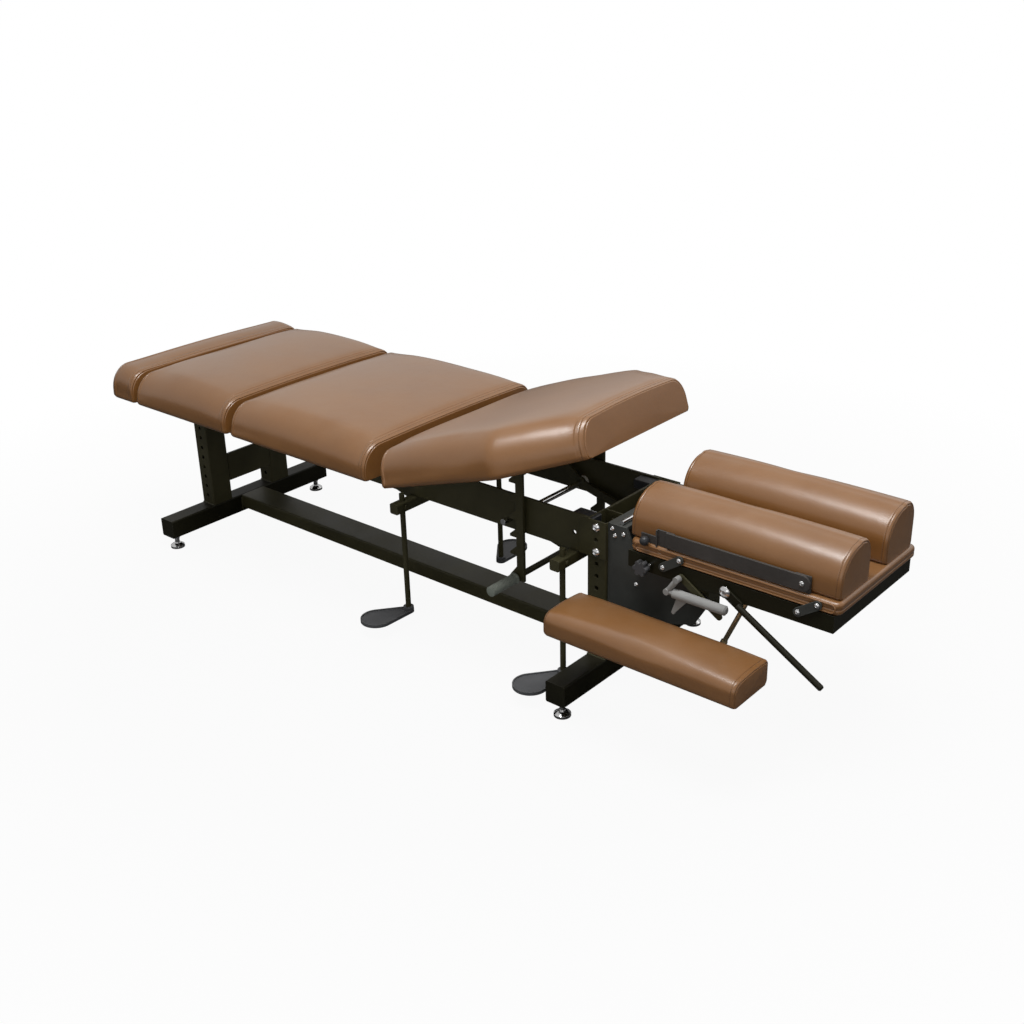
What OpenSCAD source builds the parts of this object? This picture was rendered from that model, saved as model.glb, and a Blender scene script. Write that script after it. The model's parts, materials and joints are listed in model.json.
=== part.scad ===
// Chiropractic table with a tilting thoracic section, a drop head section, two foot pedal pairs
// and a pair of armrests. Millimetres. X runs from the foot end to the head end, Y away from the
// near side, Z up from the floor. Places along X are given from the centre of the foot cross tube.

/* [Base frame] */
// Distance between the centres of the two cross tubes
base_length = 1360; // [1100:1:1600]
// Full length of each cross tube
cross_length = 560; // [400:1:700]
// Outside width and height of the square cross tubes
tube = 50.8; // [30:0.1:80]
// Height of the underside of the cross tubes above the floor
floor_gap = 38; // [20:1:80]
// Wall of the steel tubes
wall = 3.2; // [1:0.1:6]
// Outside corner radius of the steel tubes
tube_round = 4; // [1:0.5:8]
// Width of the flat spine tube
spine_width = 82; // [50:1:120]
// Height of the flat spine tube
spine_height = 38.1; // [20:0.1:50]
// Width of each upright across the table
upright_width = 63.5; // [40:0.1:90]
// Distance of the uprights' outer faces from the middle of the table
upright_outer = 135.5; // [100:0.5:200]
// Height of the top of the uprights
upright_top = 414; // [300:1:500]
// Diameter of the height holes in the uprights
hole_size = 10.5; // [6:0.1:16]
// Pitch of the height holes
hole_pitch = 28.6; // [15:0.1:50]
// Height of the lowest height hole
hole_first = 114; // [90:1:200]
// Number of height holes in each upright
hole_count = 11; // [5:1:14]
// Height of the wide plates between the uprights
tie_height = 80; // [40:1:120]
// Height of the underside of the wide plates
tie_bottom = 145; // [95:1:250]
// Thickness of the bar and plate stock
plate = 6.35; // [3:0.05:12]

/* [Levelling feet] */
// Distance of the levelling feet from the middle of the table
foot_place = 255; // [150:1:300]
// Diameter of the foot disc
foot_disc = 38; // [20:1:60]
// Thickness of the foot disc at its rim
foot_rim = 6; // [3:0.5:12]
// Height of the foot's cone
foot_cone = 7; // [3:0.5:15]
// Diameter of the threaded stem
foot_stem = 12.7; // [8:0.1:20]
// Length of the stem inside the cross tube
foot_stem_inside = 18; // [5:1:30]
// Width across the flats of the foot's hexagon
foot_hex = 20; // [12:0.5:30]
// Height of the foot's hexagon
foot_hex_height = 9; // [4:0.5:14]

/* [Top frame] */
// Height of the rail plates
rail_height = 85; // [50:1:120]
// Height of the top of the rails
rail_top = 416; // [320:1:500]
// Least reach of the rails past the foot cross tube
rail_reach = 150; // [60:1:200]
// Distance of the rails' ends from the foot pad's end
rail_setback = 18; // [5:1:60]
// Thickness of the splice plates
splice = 3; // [2:0.1:6]
// Reach of the splice plates past the upright's face
splice_reach = 19; // [10:1:40]
// Side of the square cross bars between the rails
cross_bar = 25.4; // [15:0.1:40]
// Distance of the first cross bar from the foot pad's end
foot_pad_bar_run = 48; // [20:1:90]
// Distance of the second cross bar from the leg cushion's foot end
leg_bar_run = 169; // [90:1:290]
// Distance of the third cross bar before the pelvic pedals' axle
pelvic_rail_bar_setback = 97; // [85:1:180]
// Depth of the rails' relief, where the tilted section's corner swings past its hinge
relief_depth = 12; // [11:0.5:14]
// Reach of that relief before the hinge
relief_reach = 30; // [28:1:40]
// Distance of the open rail hole from the head upright's face
rail_hole_reach = 34; // [20:1:60]
// Depth of the cross bars' tops under the rails' tops
cross_bar_drop = 1; // [0:0.5:20]

/* [Fixings] */
// Diameter of the frame bolts' shanks
bolt_shank = 10; // [6:0.1:16]
// Diameter of the frame bolts' button heads
bolt_head = 20; // [12:0.5:30]
// Height of the button heads
bolt_head_height = 6; // [3:0.5:12]
// Diameter of the small screws' heads
screw_head = 11; // [6:0.5:16]
// Height of the small screws' heads
screw_head_height = 3.5; // [2:0.5:8]
// Diameter of the small screws' shanks
screw_shank = 6; // [3:0.5:10]
// Radial clearance of a running fit
running_gap = 0.05; // [0.02:0.01:0.1]
// Gap kept between parts that pass each other
pass_gap = 0.8; // [0.3:0.1:3]
// Gap kept between a soft cushion and its neighbours
soft_gap = 0.3; // [0.2:0.1:1]
// Diameter of the hinge shafts and cross rods
shaft = 14; // [8:0.5:20]
// Diameter of the small hinge pins
pin = 10; // [6:0.5:16]
// Shorter hinge pins of the drop links
link_pin = 6; // [4:0.5:10]

// Width of the button heads' crown over their own diameter
button_bow_share = 0.62; // [0.55:0.01:1]
// Width of a button head's socket over the head's diameter
socket_share = 0.42; // [0.2:0.01:0.6]

/* [Cushions] */
// Full width of the body cushions
cushion_width = 588; // [450:1:700]
// Height of the body cushions with their boards
cushion_height = 84; // [50:1:120]
// Radius of the body cushions' long upper edges
cushion_side_round = 57; // [20:1:70]
// Radius of the far top edge of the leg and pelvic cushions and the foot pad
cushion_far_round = 38; // [20:1:57]
// Radius of the cushions' sewn ends
cushion_end_round = 7; // [5:1:18]
// Radius of the body cushions' ends toward the foot
cushion_foot_round = 14; // [6:1:18]
// Radius of the foot pad's outer end
foot_pad_round = 34; // [10:1:50]
// Radius of the cushions' corners seen from above
cushion_corner = 16; // [6:1:40]
// Rise of the crown in the middle of a cushion
crown = 4; // [0:0.5:10]
// Rise of the body cushions' middle along their length
long_crown = 11; // [0:0.5:16]
// Rise of the head cushions' and armrests' middle along their length
small_long_crown = 5; // [0:0.5:8]
// Amount by which the cushions are drawn in at their lower edge
drawn_in = 5; // [1:0.5:12]
// Height over which the lower edge is drawn in
drawn_height = 9; // [3:1:20]
// Thickness of the plywood boards
board = 12; // [8:0.5:20]
// Inset of the plywood boards from the cushion's sides
board_inset = 14; // [8:1:40]
// Gap between the foot pad and the leg cushion
foot_pad_gap = 8; // [3:1:30]
// Length of the foot pad
foot_pad_length = 111; // [60:1:200]
// Gap between the leg cushion and the pelvic cushion
cushion_gap = 12; // [5:1:40]
// Length of the leg cushion
leg_length = 379; // [250:1:500]
// Distance of the pelvic cushion's end from the thoracic hinge
pelvic_gap = 63; // [45:1:90]
// Length of the pelvic cushion
pelvic_length = 488; // [350:1:600]

/* [Thoracic section] */
// Distance of the thoracic hinge before the head cross tube
tilt_setback = 467; // [430:1:520]
// Height of the thoracic hinge
tilt_z = 400; // [350:1:460]
// Angle at which the thoracic section stands
tilt_angle = 17.5; // [0:0.1:30]
// Overhang of the thoracic cushion past its hinge
thoracic_overhang = 13; // [0:1:40]
// Length of the thoracic cushion
thoracic_length = 524; // [350:1:528]
// Length of the thoracic cushion's full-width part
thoracic_straight = 354; // [200:1:450]
// Width of the thoracic cushion's head end
thoracic_end_width = 372; // [200:1:560]
// Distance of the prop hinge from the thoracic hinge
prop_arm = 280; // [200:1:340]
// Depth of the straps under the thoracic board
strap_depth = 32; // [20:1:50]
// Reach of the straps past their pins
strap_reach = 18; // [10:1:40]

// Drop of the thoracic cushion's side rounding against the other cushions
thoracic_side_share = 0.8; // [0.5:0.01:1]

/* [Prop bars] */
// Length of the prop bars under their hinge
prop_length = 268; // [200:1:320]
// Thickness of the prop bars
prop_thick = 7; // [4:0.5:12]
// Distance of the prop bars' straight edge from the hinge line
prop_back = 11; // [8:0.5:20]
// Distance of the notches' floor from the hinge line
prop_recess = 9; // [6:0.5:20]
// Distance of the teeth's tips from the hinge line
prop_tip = 27; // [15:0.5:40]
// Depth of the first tooth under the hinge
prop_first = 34.5; // [25:0.5:60]
// Distance of the last notch from the foot of the bar
prop_last = 61.5; // [40:0.5:80]
// Number of notches
prop_notches = 5; // [3:1:7]
// Height of a tooth at its root
tooth_root = 22; // [10:0.5:30]
// Height of a tooth at its tip
tooth_tip = 6; // [3:0.5:12]
// Height of the foot block of a prop bar
prop_foot = 12; // [6:0.5:30]
// Distance of the chrome cross rod past the thoracic hinge
rod_run = 232; // [200:1:240]
// Height of the chrome cross rod
rod_z = 356; // [330:1:400]
// Half length of the chrome cross rod
rod_reach = 164; // [140:1:200]
// Half length of the prop bars' lower rod
prop_rod_reach = 238; // [160:1:280]
// Diameter of the rubber grips
grip_size = 24; // [16:1:36]
// Length of the rubber grips
grip_length = 84; // [50:1:120]
// Height of the lower rod over the bars' ends
prop_rod_rise = 8; // [8:1:30]

/* [Pedals] */
// Distance of the pelvic pedals' bar before the thoracic hinge
pelvic_bar_setback = 73; // [50:1:150]
// Distance of the thoracic pedals' bar before the head cross tube
thoracic_bar_setback = 63; // [55:1:110]
// Height of the middle of the pedal bars
pedal_bar_z = 316; // [280:1:330]
// Length of the pedal arms along the table
pedal_arm = 163; // [100:1:200]
// Side of the square pedal bars
pedal_bar = 25.4; // [15:0.1:32]
// Half length of the pedal bars
pedal_bar_reach = 200; // [160:1:230]
// Distance of the pedal rods from the middle
pedal_rod_y = 172; // [150:1:210]
// Diameter of the pedal rods
pedal_rod = 13; // [8:0.5:18]
// Height of the pedal rods' tops
pedal_rod_top = 347; // [335:1:380]
// Height of the pedals' undersides
pedal_z = 35; // [20:1:60]
// Thickness of the pedal plates
pedal_thick = 5; // [3:0.5:10]
// Distance from the rod to the middle of the pedal's broad end
pedal_reach = 84; // [50:1:120]
// Radius of the pedal's broad end
pedal_broad = 40; // [20:1:50]
// Radius of the pedal's rod end
pedal_narrow = 13; // [8:0.5:20]
// Angle of the pedals toward the foot end
pedal_turn = 20; // [0:1:60]
// Distance of the pedal arms from the middle
pedal_arm_y = 112; // [80:1:120]
// Depth of the pedal arms
pedal_arm_depth = 20; // [14:1:22]
// Size of the boss on the axle
pedal_boss = 30; // [26:1:40]
// Reach of the lifting tail past the arms' axle
tail_reach = 50; // [30:1:70]
// Radius of the lifting roller
roller = 12; // [8:1:20]
// Gap between the roller and the board it lifts
roller_gap = 0.4; // [0.2:0.1:3]
// Extra depth of the thoracic pair's roller, which clears the lowered board
roller_sink = 7; // [6:0.5:12]

/* [Head section] */
// Distance of the head hinge past the head cross tube
head_run = 115; // [60:1:180]
// Height of the head hinge
head_z = 366; // [330:1:400]
// Distance of the head frame's end before its hinge
head_setback = 16; // [8:1:30]
// Length of the head frame
head_length = 457; // [350:1:550]
// Half width of the head frame
head_half = 161; // [120:1:180]
// Height of the underside of the head frame
head_bottom = 352; // [320:1:380]
// Height of the head frame's plates
head_depth = 36; // [25:1:60]
// Thickness of the covered head board
head_board = 26; // [15:1:40]
// Overhang of the covered board past the head frame
head_board_overhang = 10; // [0:1:20]
// Width of the inner lips of the head frame
frame_lip = 20; // [10:0.5:24]
// Radius of the covered board's edges
head_board_round = 8; // [3:1:12]
// Overhang of the head cushions past the head frame
face_overhang = 3; // [0:1:12]
// Length of the head cushions
face_length = 464; // [350:1:550]
// Distance of the head cushions' inner sides from the middle
face_inner = 32; // [15:1:60]
// Distance of the head cushions' outer sides from the middle
face_outer = 152; // [120:1:170]
// Height of the head cushions
face_height = 93; // [50:1:110]
// Height of the far head cushion above its board
far_face_height = 103; // [50:1:115]
// Run of the head cushions' broad rounding
face_broad_run = 68; // [30:1:72]
// Height of the head cushions' broad rounding
face_broad_rise = 64; // [30:1:75]
// Run of the head cushions' steep rounding
face_steep_run = 28; // [10:1:34]
// Height of the head cushions' steep rounding
face_steep_rise = 40; // [10:1:60]
// Distance between the two pairs of drop links
link_span = 299; // [200:1:350]
// Distance of the first drop link's lower pin from the head frame's end
link_place = 86; // [60:1:120]
// Height of the drop links' lower pins
link_z = 375; // [360:1:385]
// Run of the drop links along the table
link_run = 38; // [20:1:60]
// Rise of the drop links
link_rise = 26; // [15:1:40]
// Thickness of the drop links
link_thick = 4; // [2:0.5:8]
// Width of the drop links
link_width = 18; // [12:1:26]
// Length of the side bars
side_bar_length = 314; // [200:1:400]
// Distance of the side bars from the head frame's end
side_bar_place = 89; // [80:1:120]
// Height of the side bars
side_bar_height = 32; // [20:1:50]
// Thickness of the side bars
side_bar_thick = 5; // [3:0.5:8]
// Height of the side bars' undersides over the board
side_bar_rise = 3; // [1:0.5:10]
// Thickness of the tabs behind the side bars
tab_thick = 3; // [1:0.5:3]
// Reach of the catch tabs past the side bars' ends
catch_reach = 24; // [10:1:40]
// Distance of the catch knobs from the side bars' ends
knob_reach = 46; // [40:1:60]
// Distance of the catch knobs from their tabs
knob_stand = 2; // [1:0.5:6]

/* [Head support] */
// Distance of the head brackets from the middle
bracket_y = 124; // [90:1:130]
// Reach of the brackets' flat top past the upright
bracket_top = 45; // [30:1:48]
// Height of the brackets' ears over the head hinge
bracket_ear = 14; // [10:0.5:15]
// Reach of the brackets' nose past the head hinge
bracket_nose = 153; // [60:1:170]
// Drop of the nose's top under the head hinge
bracket_nose_drop = 48; // [40:1:80]
// Height of the nose
bracket_nose_height = 22; // [10:1:60]
// Height of the brackets' underside, on top of the side arms
bracket_bottom = 201; // [201:1:240]
// Thickness of the guide lug of the strut
lug_thick = 8; // [4:0.5:12]
// Half length of the slot in the guide lug
lug_slot = 15; // [12:0.5:20]
// Height of the guide lug's underside
lug_z = 186; // [170:1:195]
// Height of the side arms' undersides
arm_bottom = 163; // [120:1:200]
// Side of the side arms
arm_size = 38; // [25:1:50]
// Reach of the near side arm past the middle of the strut's guide lug
arm_reach = 17; // [10:1:25]
// Reach of the far side arm past its armrest post
far_arm_reach = 26; // [26:1:60]
// Distance of the strut's hinge from the head frame's end
strut_place = 274; // [250:1:320]
// Height of the strut's upper pin
strut_z = 364; // [355:1:380]
// Lean of the strut
strut_lean = 23.6; // [0:0.1:45]
// Length of the strut
strut_length = 232; // [150:1:300]
// Diameter of the strut
strut_size = 10; // [6:0.5:16]
// Place of the strut's nut along its length over the strut's length
nut_share = 0.55; // [0.3:0.01:0.8]
// Size of the strut's nut over its corners
nut_size = 15; // [12:0.5:15.5]
// Width of the slot in the head frame's lip
strut_slot = 16; // [12:0.5:18]
// Distance of the strut from the middle
strut_y = 144; // [130:1:150]

/* [Armrests] */
// Distance of the armrests' ends before the head cross tube
armrest_setback = 8; // [-40:1:60]
// Length of the armrest pads
armrest_length = 456; // [300:1:550]
// Distance of the pads' inner sides from the middle
armrest_inner = 188; // [170:1:260]
// Width of the armrest pads
armrest_width = 127; // [80:1:160]
// Height of the pads' undersides
armrest_z = 220; // [180:1:260]
// Thickness of the armrest pads
armrest_height = 54; // [30:1:80]
// Distance of the armrest posts from the armrests' ends
post_place = 118; // [90:1:130]
// Distance of the armrest posts from the middle
post_y = 165; // [160:1:172]
// Side of the square armrest posts
post = 18; // [12:0.5:25]
// Length of the armrest posts
post_length = 90; // [80:1:110]
// Height of the post sockets
socket_height = 58; // [30:1:80]

// Half length of the plates under the armrest pads
armrest_plate_reach = 100; // [50:1:110]
// Distance of those plates inside the pads' outer sides
armrest_plate_inset = 40; // [20:1:60]
// Radius of the armrest pads' upper edges
armrest_round = 22; // [8:1:30]
// Radius of the top edge of an armrest pad that faces the table
armrest_inner_round = 8; // [5:1:22]
// Radius of the armrest pads' corners seen from above
armrest_corner = 24; // [8:1:30]

/* [Levers and knobs] */
// Diameter of the lever rods
lever_rod = 12; // [6:0.5:16]
// Diameter of the grip lever's sleeve
sleeve_size = 20; // [14:0.5:28]
// Length of the grip lever's sleeve
sleeve_length = 130; // [80:1:132]
// Diameter of the rod's knuckles over the rod's diameter
knuckle_share = 1.12; // [1.05:0.01:1.3]
// Distance of the grip lever's middle from the head frame's face
grip_stand = 15.8; // [15.5:0.1:16.5]
// Run of the grip lever's bend toward the foot end
grip_run = 22; // [10:1:30]
// Run of the lever's horn toward the foot end from the pivot
horn_run = 6; // [0:1:20]
// Drop of the lever's horn under its pivot
horn_drop = 74; // [60:1:80]
// Width of the horn at the sleeve
horn_width = 24; // [12:1:30]
// Radius of the horn's tip
horn_tip = 4; // [2:0.5:6]
// Reach of the latch bar behind the sleeve
latch_reach = 90; // [60:1:100]
// Drop of the latch bar's end
latch_drop = 58; // [40:1:70]
// Width of the latch bar
latch_width = 14; // [8:0.5:18]
// Distance of the grip lever's hinge from the head frame's end
grip_place = 129; // [110:1:150]
// Drop of the grip lever's sleeve under its pivot
grip_drop = 32; // [25:1:60]
// Distance of the release lever's hinge from the head frame's end
release_place = 229; // [200:1:260]
// Length of the release lever
release_length = 217; // [150:1:260]
// Slope of the release lever
release_slope = 31; // [10:1:60]
// Length of the flat root of the release lever
release_root = 36; // [30:1:60]
// Diameter of the release lever's rod
release_rod = 13; // [8:0.5:18]
// Distance of the star knob from the head frame's end
star_place = 39; // [35:1:50]
// Height of the star knob
star_z = 362; // [360:1:370]
// Number of lobes on the star knob
star_lobes = 6; // [4:1:8]
// Diameter of a lobe over the star knob's diameter
lobe_share = 0.28; // [0.2:0.01:0.35]
// Diameter of the star knob's hub over its diameter
hub_share = 0.7; // [0.5:0.01:0.8]
// Diameter of the star knob
star_size = 34; // [20:1:50]
// Diameter of the round knobs
round_knob = 20; // [12:1:30]

/* [Hidden] */

$fn = 48;

steel_black = [0.10, 0.10, 0.11];
chrome = [0.80, 0.80, 0.82];
vinyl = [0.62, 0.47, 0.37];
ply = [0.30, 0.26, 0.22];
rubber = [0.45, 0.46, 0.47];
pedal_grey = [0.30, 0.31, 0.32];

over = plate;
fit = running_gap * 2;

// Levels of the base frame
half_tube = tube / 2;
cross_mid = floor_gap + half_tube;
cross_top = floor_gap + tube;
half_cross = cross_length / 2;
head_cross = base_length;

// Places along the table, from the head cross tube back to the foot pad and on to the head
tilt_x = head_cross - tilt_setback;
rod_x = tilt_x + rod_run;
pelvic_bar_x = tilt_x - pelvic_bar_setback;
pelvic_axle_x = pelvic_bar_x - pedal_arm;
thoracic_bar_x = head_cross - thoracic_bar_setback;
pelvic_start = tilt_x - pelvic_gap - pelvic_length;
leg_start = pelvic_start - cushion_gap - leg_length;
foot_pad_start = leg_start - foot_pad_gap - foot_pad_length;
foot_pad_bar_x = foot_pad_start + foot_pad_bar_run;
leg_bar_x = leg_start + leg_bar_run;
pelvic_rail_bar_x = pelvic_axle_x - pelvic_rail_bar_setback;
rail_start = min(-rail_reach, foot_pad_start + rail_setback);
head_x = head_cross + head_run;
head_start = head_x - head_setback;
face_start = head_start - face_overhang;
link_x = head_start + link_place;
side_bar_start = head_start + side_bar_place;
strut_x = head_start + strut_place;
grip_x = head_start + grip_place;
release_x = head_start + release_place;
star_x = head_start + star_place;
armrest_start = head_cross - armrest_setback;
post_x = armrest_start + post_place;
far_arm_end = post_x + far_arm_reach;

// Sides of the uprights and levels of the rails and bolts
upright_inner = upright_outer - upright_width;
upright_mid = upright_outer - upright_width / 2;
rail_bottom = rail_top - rail_height;
rail_inner = upright_outer - plate;
splice_outer = upright_outer + splice;
low_bolt = hole_first + hole_pitch * (hole_count - 3);
high_bolt = hole_first + hole_pitch * (hole_count - 1);
open_hole = (low_bolt + high_bolt) / 2;

// The origin is under the middle of the whole table
object_end = head_start + head_length + head_board_overhang;
object_mid = (foot_pad_start + object_end) / 2;

// Levels and sides of the thoracic section and its props
half_cushion = cushion_width / 2;
strap_inner = upright_outer + pass_gap;
strap_outer = strap_inner + plate;
prop_inner = strap_outer + pass_gap;
prop_outer = prop_inner + prop_thick;
prop_x = tilt_x + prop_arm * cos(tilt_angle);
prop_z = tilt_z + prop_arm * sin(tilt_angle);
prop_rod_x = prop_x - prop_recess;
prop_rod_z = prop_z - prop_length + prop_rod_rise;
prop_pitch = (prop_length - prop_first - prop_last) / (prop_notches - 1);
thoracic_start = tilt_x - thoracic_overhang;
thoracic_corners = [
  [thoracic_start, -half_cushion],
  [thoracic_start + thoracic_straight, -half_cushion],
  [thoracic_start + thoracic_length, -thoracic_end_width / 2],
  [thoracic_start + thoracic_length, thoracic_end_width / 2],
  [thoracic_start + thoracic_straight, half_cushion],
  [thoracic_start, half_cushion]
];

// Axles of the pelvic section and of the two pedal pairs
pelvic_hinge_x = pelvic_start + board_inset;
pelvic_hinge_z = rail_top - pin - plate / 2;
roller_z = rail_top - roller_gap - roller;

// Levels and sides of the head section
head_top = head_bottom + head_depth;
head_inner = head_half - plate;
head_end = head_start + head_length;
board_rest = head_top + soft_gap;
face_z = board_rest + head_board;
panel_start = head_start + splice;
front_link_x = link_x + link_span;
link_inner = head_half + pass_gap;
link_outer = link_inner + link_thick;
side_bar_z = face_z + side_bar_rise;
side_bar_top = side_bar_z + side_bar_height;
side_bar_inner = head_half - side_bar_thick;
tab_outer = side_bar_inner - soft_gap;
tab_inner = tab_outer - tab_thick;
bar_pivot_x = side_bar_start + side_bar_length - side_bar_height / 2;
bar_pivot_z = side_bar_z + side_bar_height / 2;
knob_x = side_bar_start - knob_reach;
knob_z = side_bar_z + round_knob / 4;
lever_y = -head_half - grip_stand;
grip_start = grip_x - grip_run;
grip_z = head_z - grip_drop;

// Brackets, side arms and armrests
bracket_start = head_cross + half_tube;
bracket_outer = bracket_y + plate;
bracket_end = head_x + bracket_nose;
bracket_outline = [
  [bracket_start, bracket_bottom],
  [bracket_start, rail_top],
  [bracket_start + bracket_top, rail_top],
  [head_x - hole_pitch, head_z + bracket_ear],
  [head_x + bracket_ear, head_z + bracket_ear],
  [head_x + tube, head_z - bracket_ear],
  [bracket_end, head_z - bracket_nose_drop],
  [bracket_end, head_z - bracket_nose_drop - bracket_nose_height],
  [bracket_end - hole_pitch, head_z - bracket_nose_drop * 2 - bracket_nose_height],
  [head_x - hole_pitch, bracket_bottom]
];
bracket_screws = [
  [bracket_start + hole_size, rail_top - hole_size],
  [bracket_start + tube / 3, rail_top - half_tube],
  [bracket_start + bracket_top - screw_shank, rail_top - tube / 3],
  [head_x - tube / 3, head_z - tube - bolt_head]
];
arm_mid = upright_outer - arm_size / 2;
arm_top = arm_bottom + arm_size;
lug_x = strut_x - (strut_z - lug_z) * tan(strut_lean);
arm_end = lug_x + arm_reach;
socket_top = armrest_z - plate - pass_gap;
socket_half = post / 2 + wall;
clamp_z = socket_top - socket_height / 2;
clamp_y = post_y + socket_half;

// Levels at which the rings of a cushion lie, from 0 at the start of a rounding to 1 at its top
arc_share = [0, 0.26, 0.5, 0.71, 0.87, 0.966, 1];
side_arc_share = [0, 0.26, 0.5, 0.66];
end_arc_share = [0, 0.4, 0.75, 0.93, 1];
face_arc_share = [0, 0.16, 0.31, 0.45, 0.58, 0.7, 0.8, 0.88, 0.94, 0.98, 1];
low_share = [0, 0.3, 0.6, 1];
crown_share = [0.7, 0.35];
corner_share = 0.4;
corner_steps = 4;
side_steps = 6;

// Moves the table so that the origin lies under its middle
module place() {
  translate([-object_mid, 0, 0]) children();
}

module block(x0, x1, y0, y1, z0, z1) {
  translate([x0, y0, z0]) cube([x1 - x0, y1 - y0, z1 - z0]);
}

module both_sides() {
  children();
  mirror([0, 1, 0]) children();
}

module far_side() {
  mirror([0, 1, 0]) children();
}

module rod_y(x, z, y0, y1, size) {
  translate([x, y0, z]) rotate([-90, 0, 0]) cylinder(h = y1 - y0, d = size);
}

// A plate in the XZ plane between two distances from the middle
module plate_xz(y0, y1) {
  translate([0, y1, 0]) rotate([90, 0, 0]) linear_extrude(height = y1 - y0) children();
}

module rounded(w, h, r) {
  square([w - r * 2, h], center = true);
  square([w, h - r * 2], center = true);
  for (i = [-1, 1], j = [-1, 1])
    translate([i * (w / 2 - r), j * (h / 2 - r)]) circle(r = r);
}

module tube_section(w, h) {
  difference() {
    rounded(w, h, tube_round);
    rounded(w - wall * 2, h - wall * 2, tube_round - wall);
  }
}

module tube_y(x, z, w, h, y0, y1) {
  translate([x, y0, z]) rotate([-90, 0, 0]) linear_extrude(height = y1 - y0)
    tube_section(w, h);
}

module tube_x(y, z, w, h, x0, x1) {
  translate([x0, y, z]) rotate([0, 90, 0]) linear_extrude(height = x1 - x0)
    tube_section(h, w);
}

// A bar between two points, with square ends
module strip_2d(x0, z0, x1, z1, w) {
  translate([x0, z0]) rotate(atan2(z1 - z0, x1 - x0)) translate([0, -w / 2])
    square([norm([x1 - x0, z1 - z0]), w]);
}

// A bar with round ends between two points
module bar_2d(x0, z0, x1, z1, w) {
  translate([x0, z0]) circle(d = w);
  translate([x1, z1]) circle(d = w);
  strip_2d(x0, z0, x1, z1, w);
}

// Button head with a hexagon socket, on a plate's near face
module button(x, z, face, size, height) {
  bow = size * button_bow_share;
  translate([x, face, z]) rotate([90, 0, 0]) difference() {
    intersection() {
      cylinder(h = height, d = size);
      translate([0, 0, height - bow]) sphere(r = bow);
    }
    translate([0, 0, height / 2]) cylinder(h = height, d = size * socket_share, $fn = 6);
  }
}

// Cushion forms: rings of points at rising levels, with a rounding of its own on each edge
function edge_dir(p, i) =
  let (q = p[(i + 1) % len(p)] - p[i]) q / norm(q);
function edge_out(p, i) =
  let (d = edge_dir(p, i)) [d[1], -d[0]];
function moved_corner(p, ins, i) =
  let (
    j = (i + len(p) - 1) % len(p),
    n1 = edge_out(p, j),
    n2 = edge_out(p, i),
    c1 = n1 * p[i] - ins[j],
    c2 = n2 * p[i] - ins[i],
    det = n1[0] * n2[1] - n1[1] * n2[0]
  )
  [(c1 * n2[1] - c2 * n1[1]) / det, (n1[0] * c2 - n2[0] * c1) / det];
function spread(q, s) = max([for (v = q) v[s]]) - min([for (v = q) v[s]]);
function middle(q) =
  [for (s = [0, 1]) (max([for (v = q) v[s]]) + min([for (v = q) v[s]])) / 2];
function ring(p, ins, corner) =
  let (
    q = [for (i = [0:len(p) - 1]) moved_corner(p, ins, i)],
    r = min(corner, min(spread(q, 0), spread(q, 1)) * corner_share),
    arcs = [
      for (i = [0:len(p) - 1])
        let (
          j = (i + len(p) - 1) % len(p),
          c = moved_corner(p, [for (v = ins) v + r], i),
          n1 = edge_out(p, j),
          n2 = edge_out(p, i),
          start = atan2(n1[1], n1[0]),
          turn = acos(min(1, n1 * n2))
        )
        [for (k = [0:corner_steps])
          let (a = start + turn * k / corner_steps)
          c + r * [cos(a), sin(a)]]
    ]
  )
  [
    for (i = [0:len(p) - 1])
      let (
        last = arcs[i][corner_steps],
        next = arcs[(i + 1) % len(p)][0],
        way = edge_dir(p, i),
        steps = abs(way[0]) > abs(way[1]) ? side_steps : 1
      )
      for (v = concat(arcs[i], steps < 2 ? [] :
        [for (k = [1:steps - 1]) last + (next - last) * k / steps]))
        v
  ];
// Share of the lengthwise crown at a place along a cushion
function crown_at(x, p) =
  let (
    low = min([for (v = p) v[0]]),
    high = max([for (v = p) v[0]]),
    t = (2 * x - low - high) / (high - low)
  )
  1 - t * t;
function round_inset(z, h, e) =
  z <= h - e[1] ? 0 : let (t = (z - h + e[1]) / e[1]) e[0] * (1 - sqrt(max(0, 1 - t * t)));
function low_inset(z) = z >= drawn_height ? 0 : drawn_in * pow(1 - z / drawn_height, 2);
function levels(h, rise, share) =
  concat([for (s = low_share) s * drawn_height], [for (s = share) h - rise + rise * s]);

module pad(corners, edges, h, levels, corner, rise) {
  sides = [
    for (z = levels)
      let (ins = [for (e = edges) round_inset(z, h, e) + low_inset(z)])
      [for (v = ring(corners, ins, corner))
        [v[0], v[1], z + rise * z / h * crown_at(v[0], corners)]]
  ];
  n = len(sides[0]);
  top = sides[len(sides) - 1];
  low = middle(sides[0]);
  mid = middle(top);
  cap = [
    for (s = crown_share)
      [for (v = top)
        let (x = mid[0] + (v[0] - mid[0]) * s)
        [x, mid[1] + (v[1] - mid[1]) * s,
          h + crown * (1 - s * s) + rise * crown_at(x, corners)]]
  ];
  rings = concat(sides, cap);
  count = len(rings);
  polyhedron(
    points = concat(
      [for (q = rings) for (v = q) v],
      [[low[0], low[1], 0], [mid[0], mid[1], h + crown + rise * crown_at(mid[0], corners)]]
    ),
    faces = concat(
      [for (k = [0:count - 2], i = [0:n - 1])
        [k * n + i, (k + 1) * n + i, (k + 1) * n + (i + 1) % n]],
      [for (k = [0:count - 2], i = [0:n - 1])
        [k * n + i, (k + 1) * n + (i + 1) % n, k * n + (i + 1) % n]],
      [for (i = [0:n - 1]) [count * n, i, (i + 1) % n]],
      [for (i = [0:n - 1])
        [count * n + 1, (count - 1) * n + (i + 1) % n, (count - 1) * n + i]]
    ),
    convexity = 4
  );
}

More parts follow.
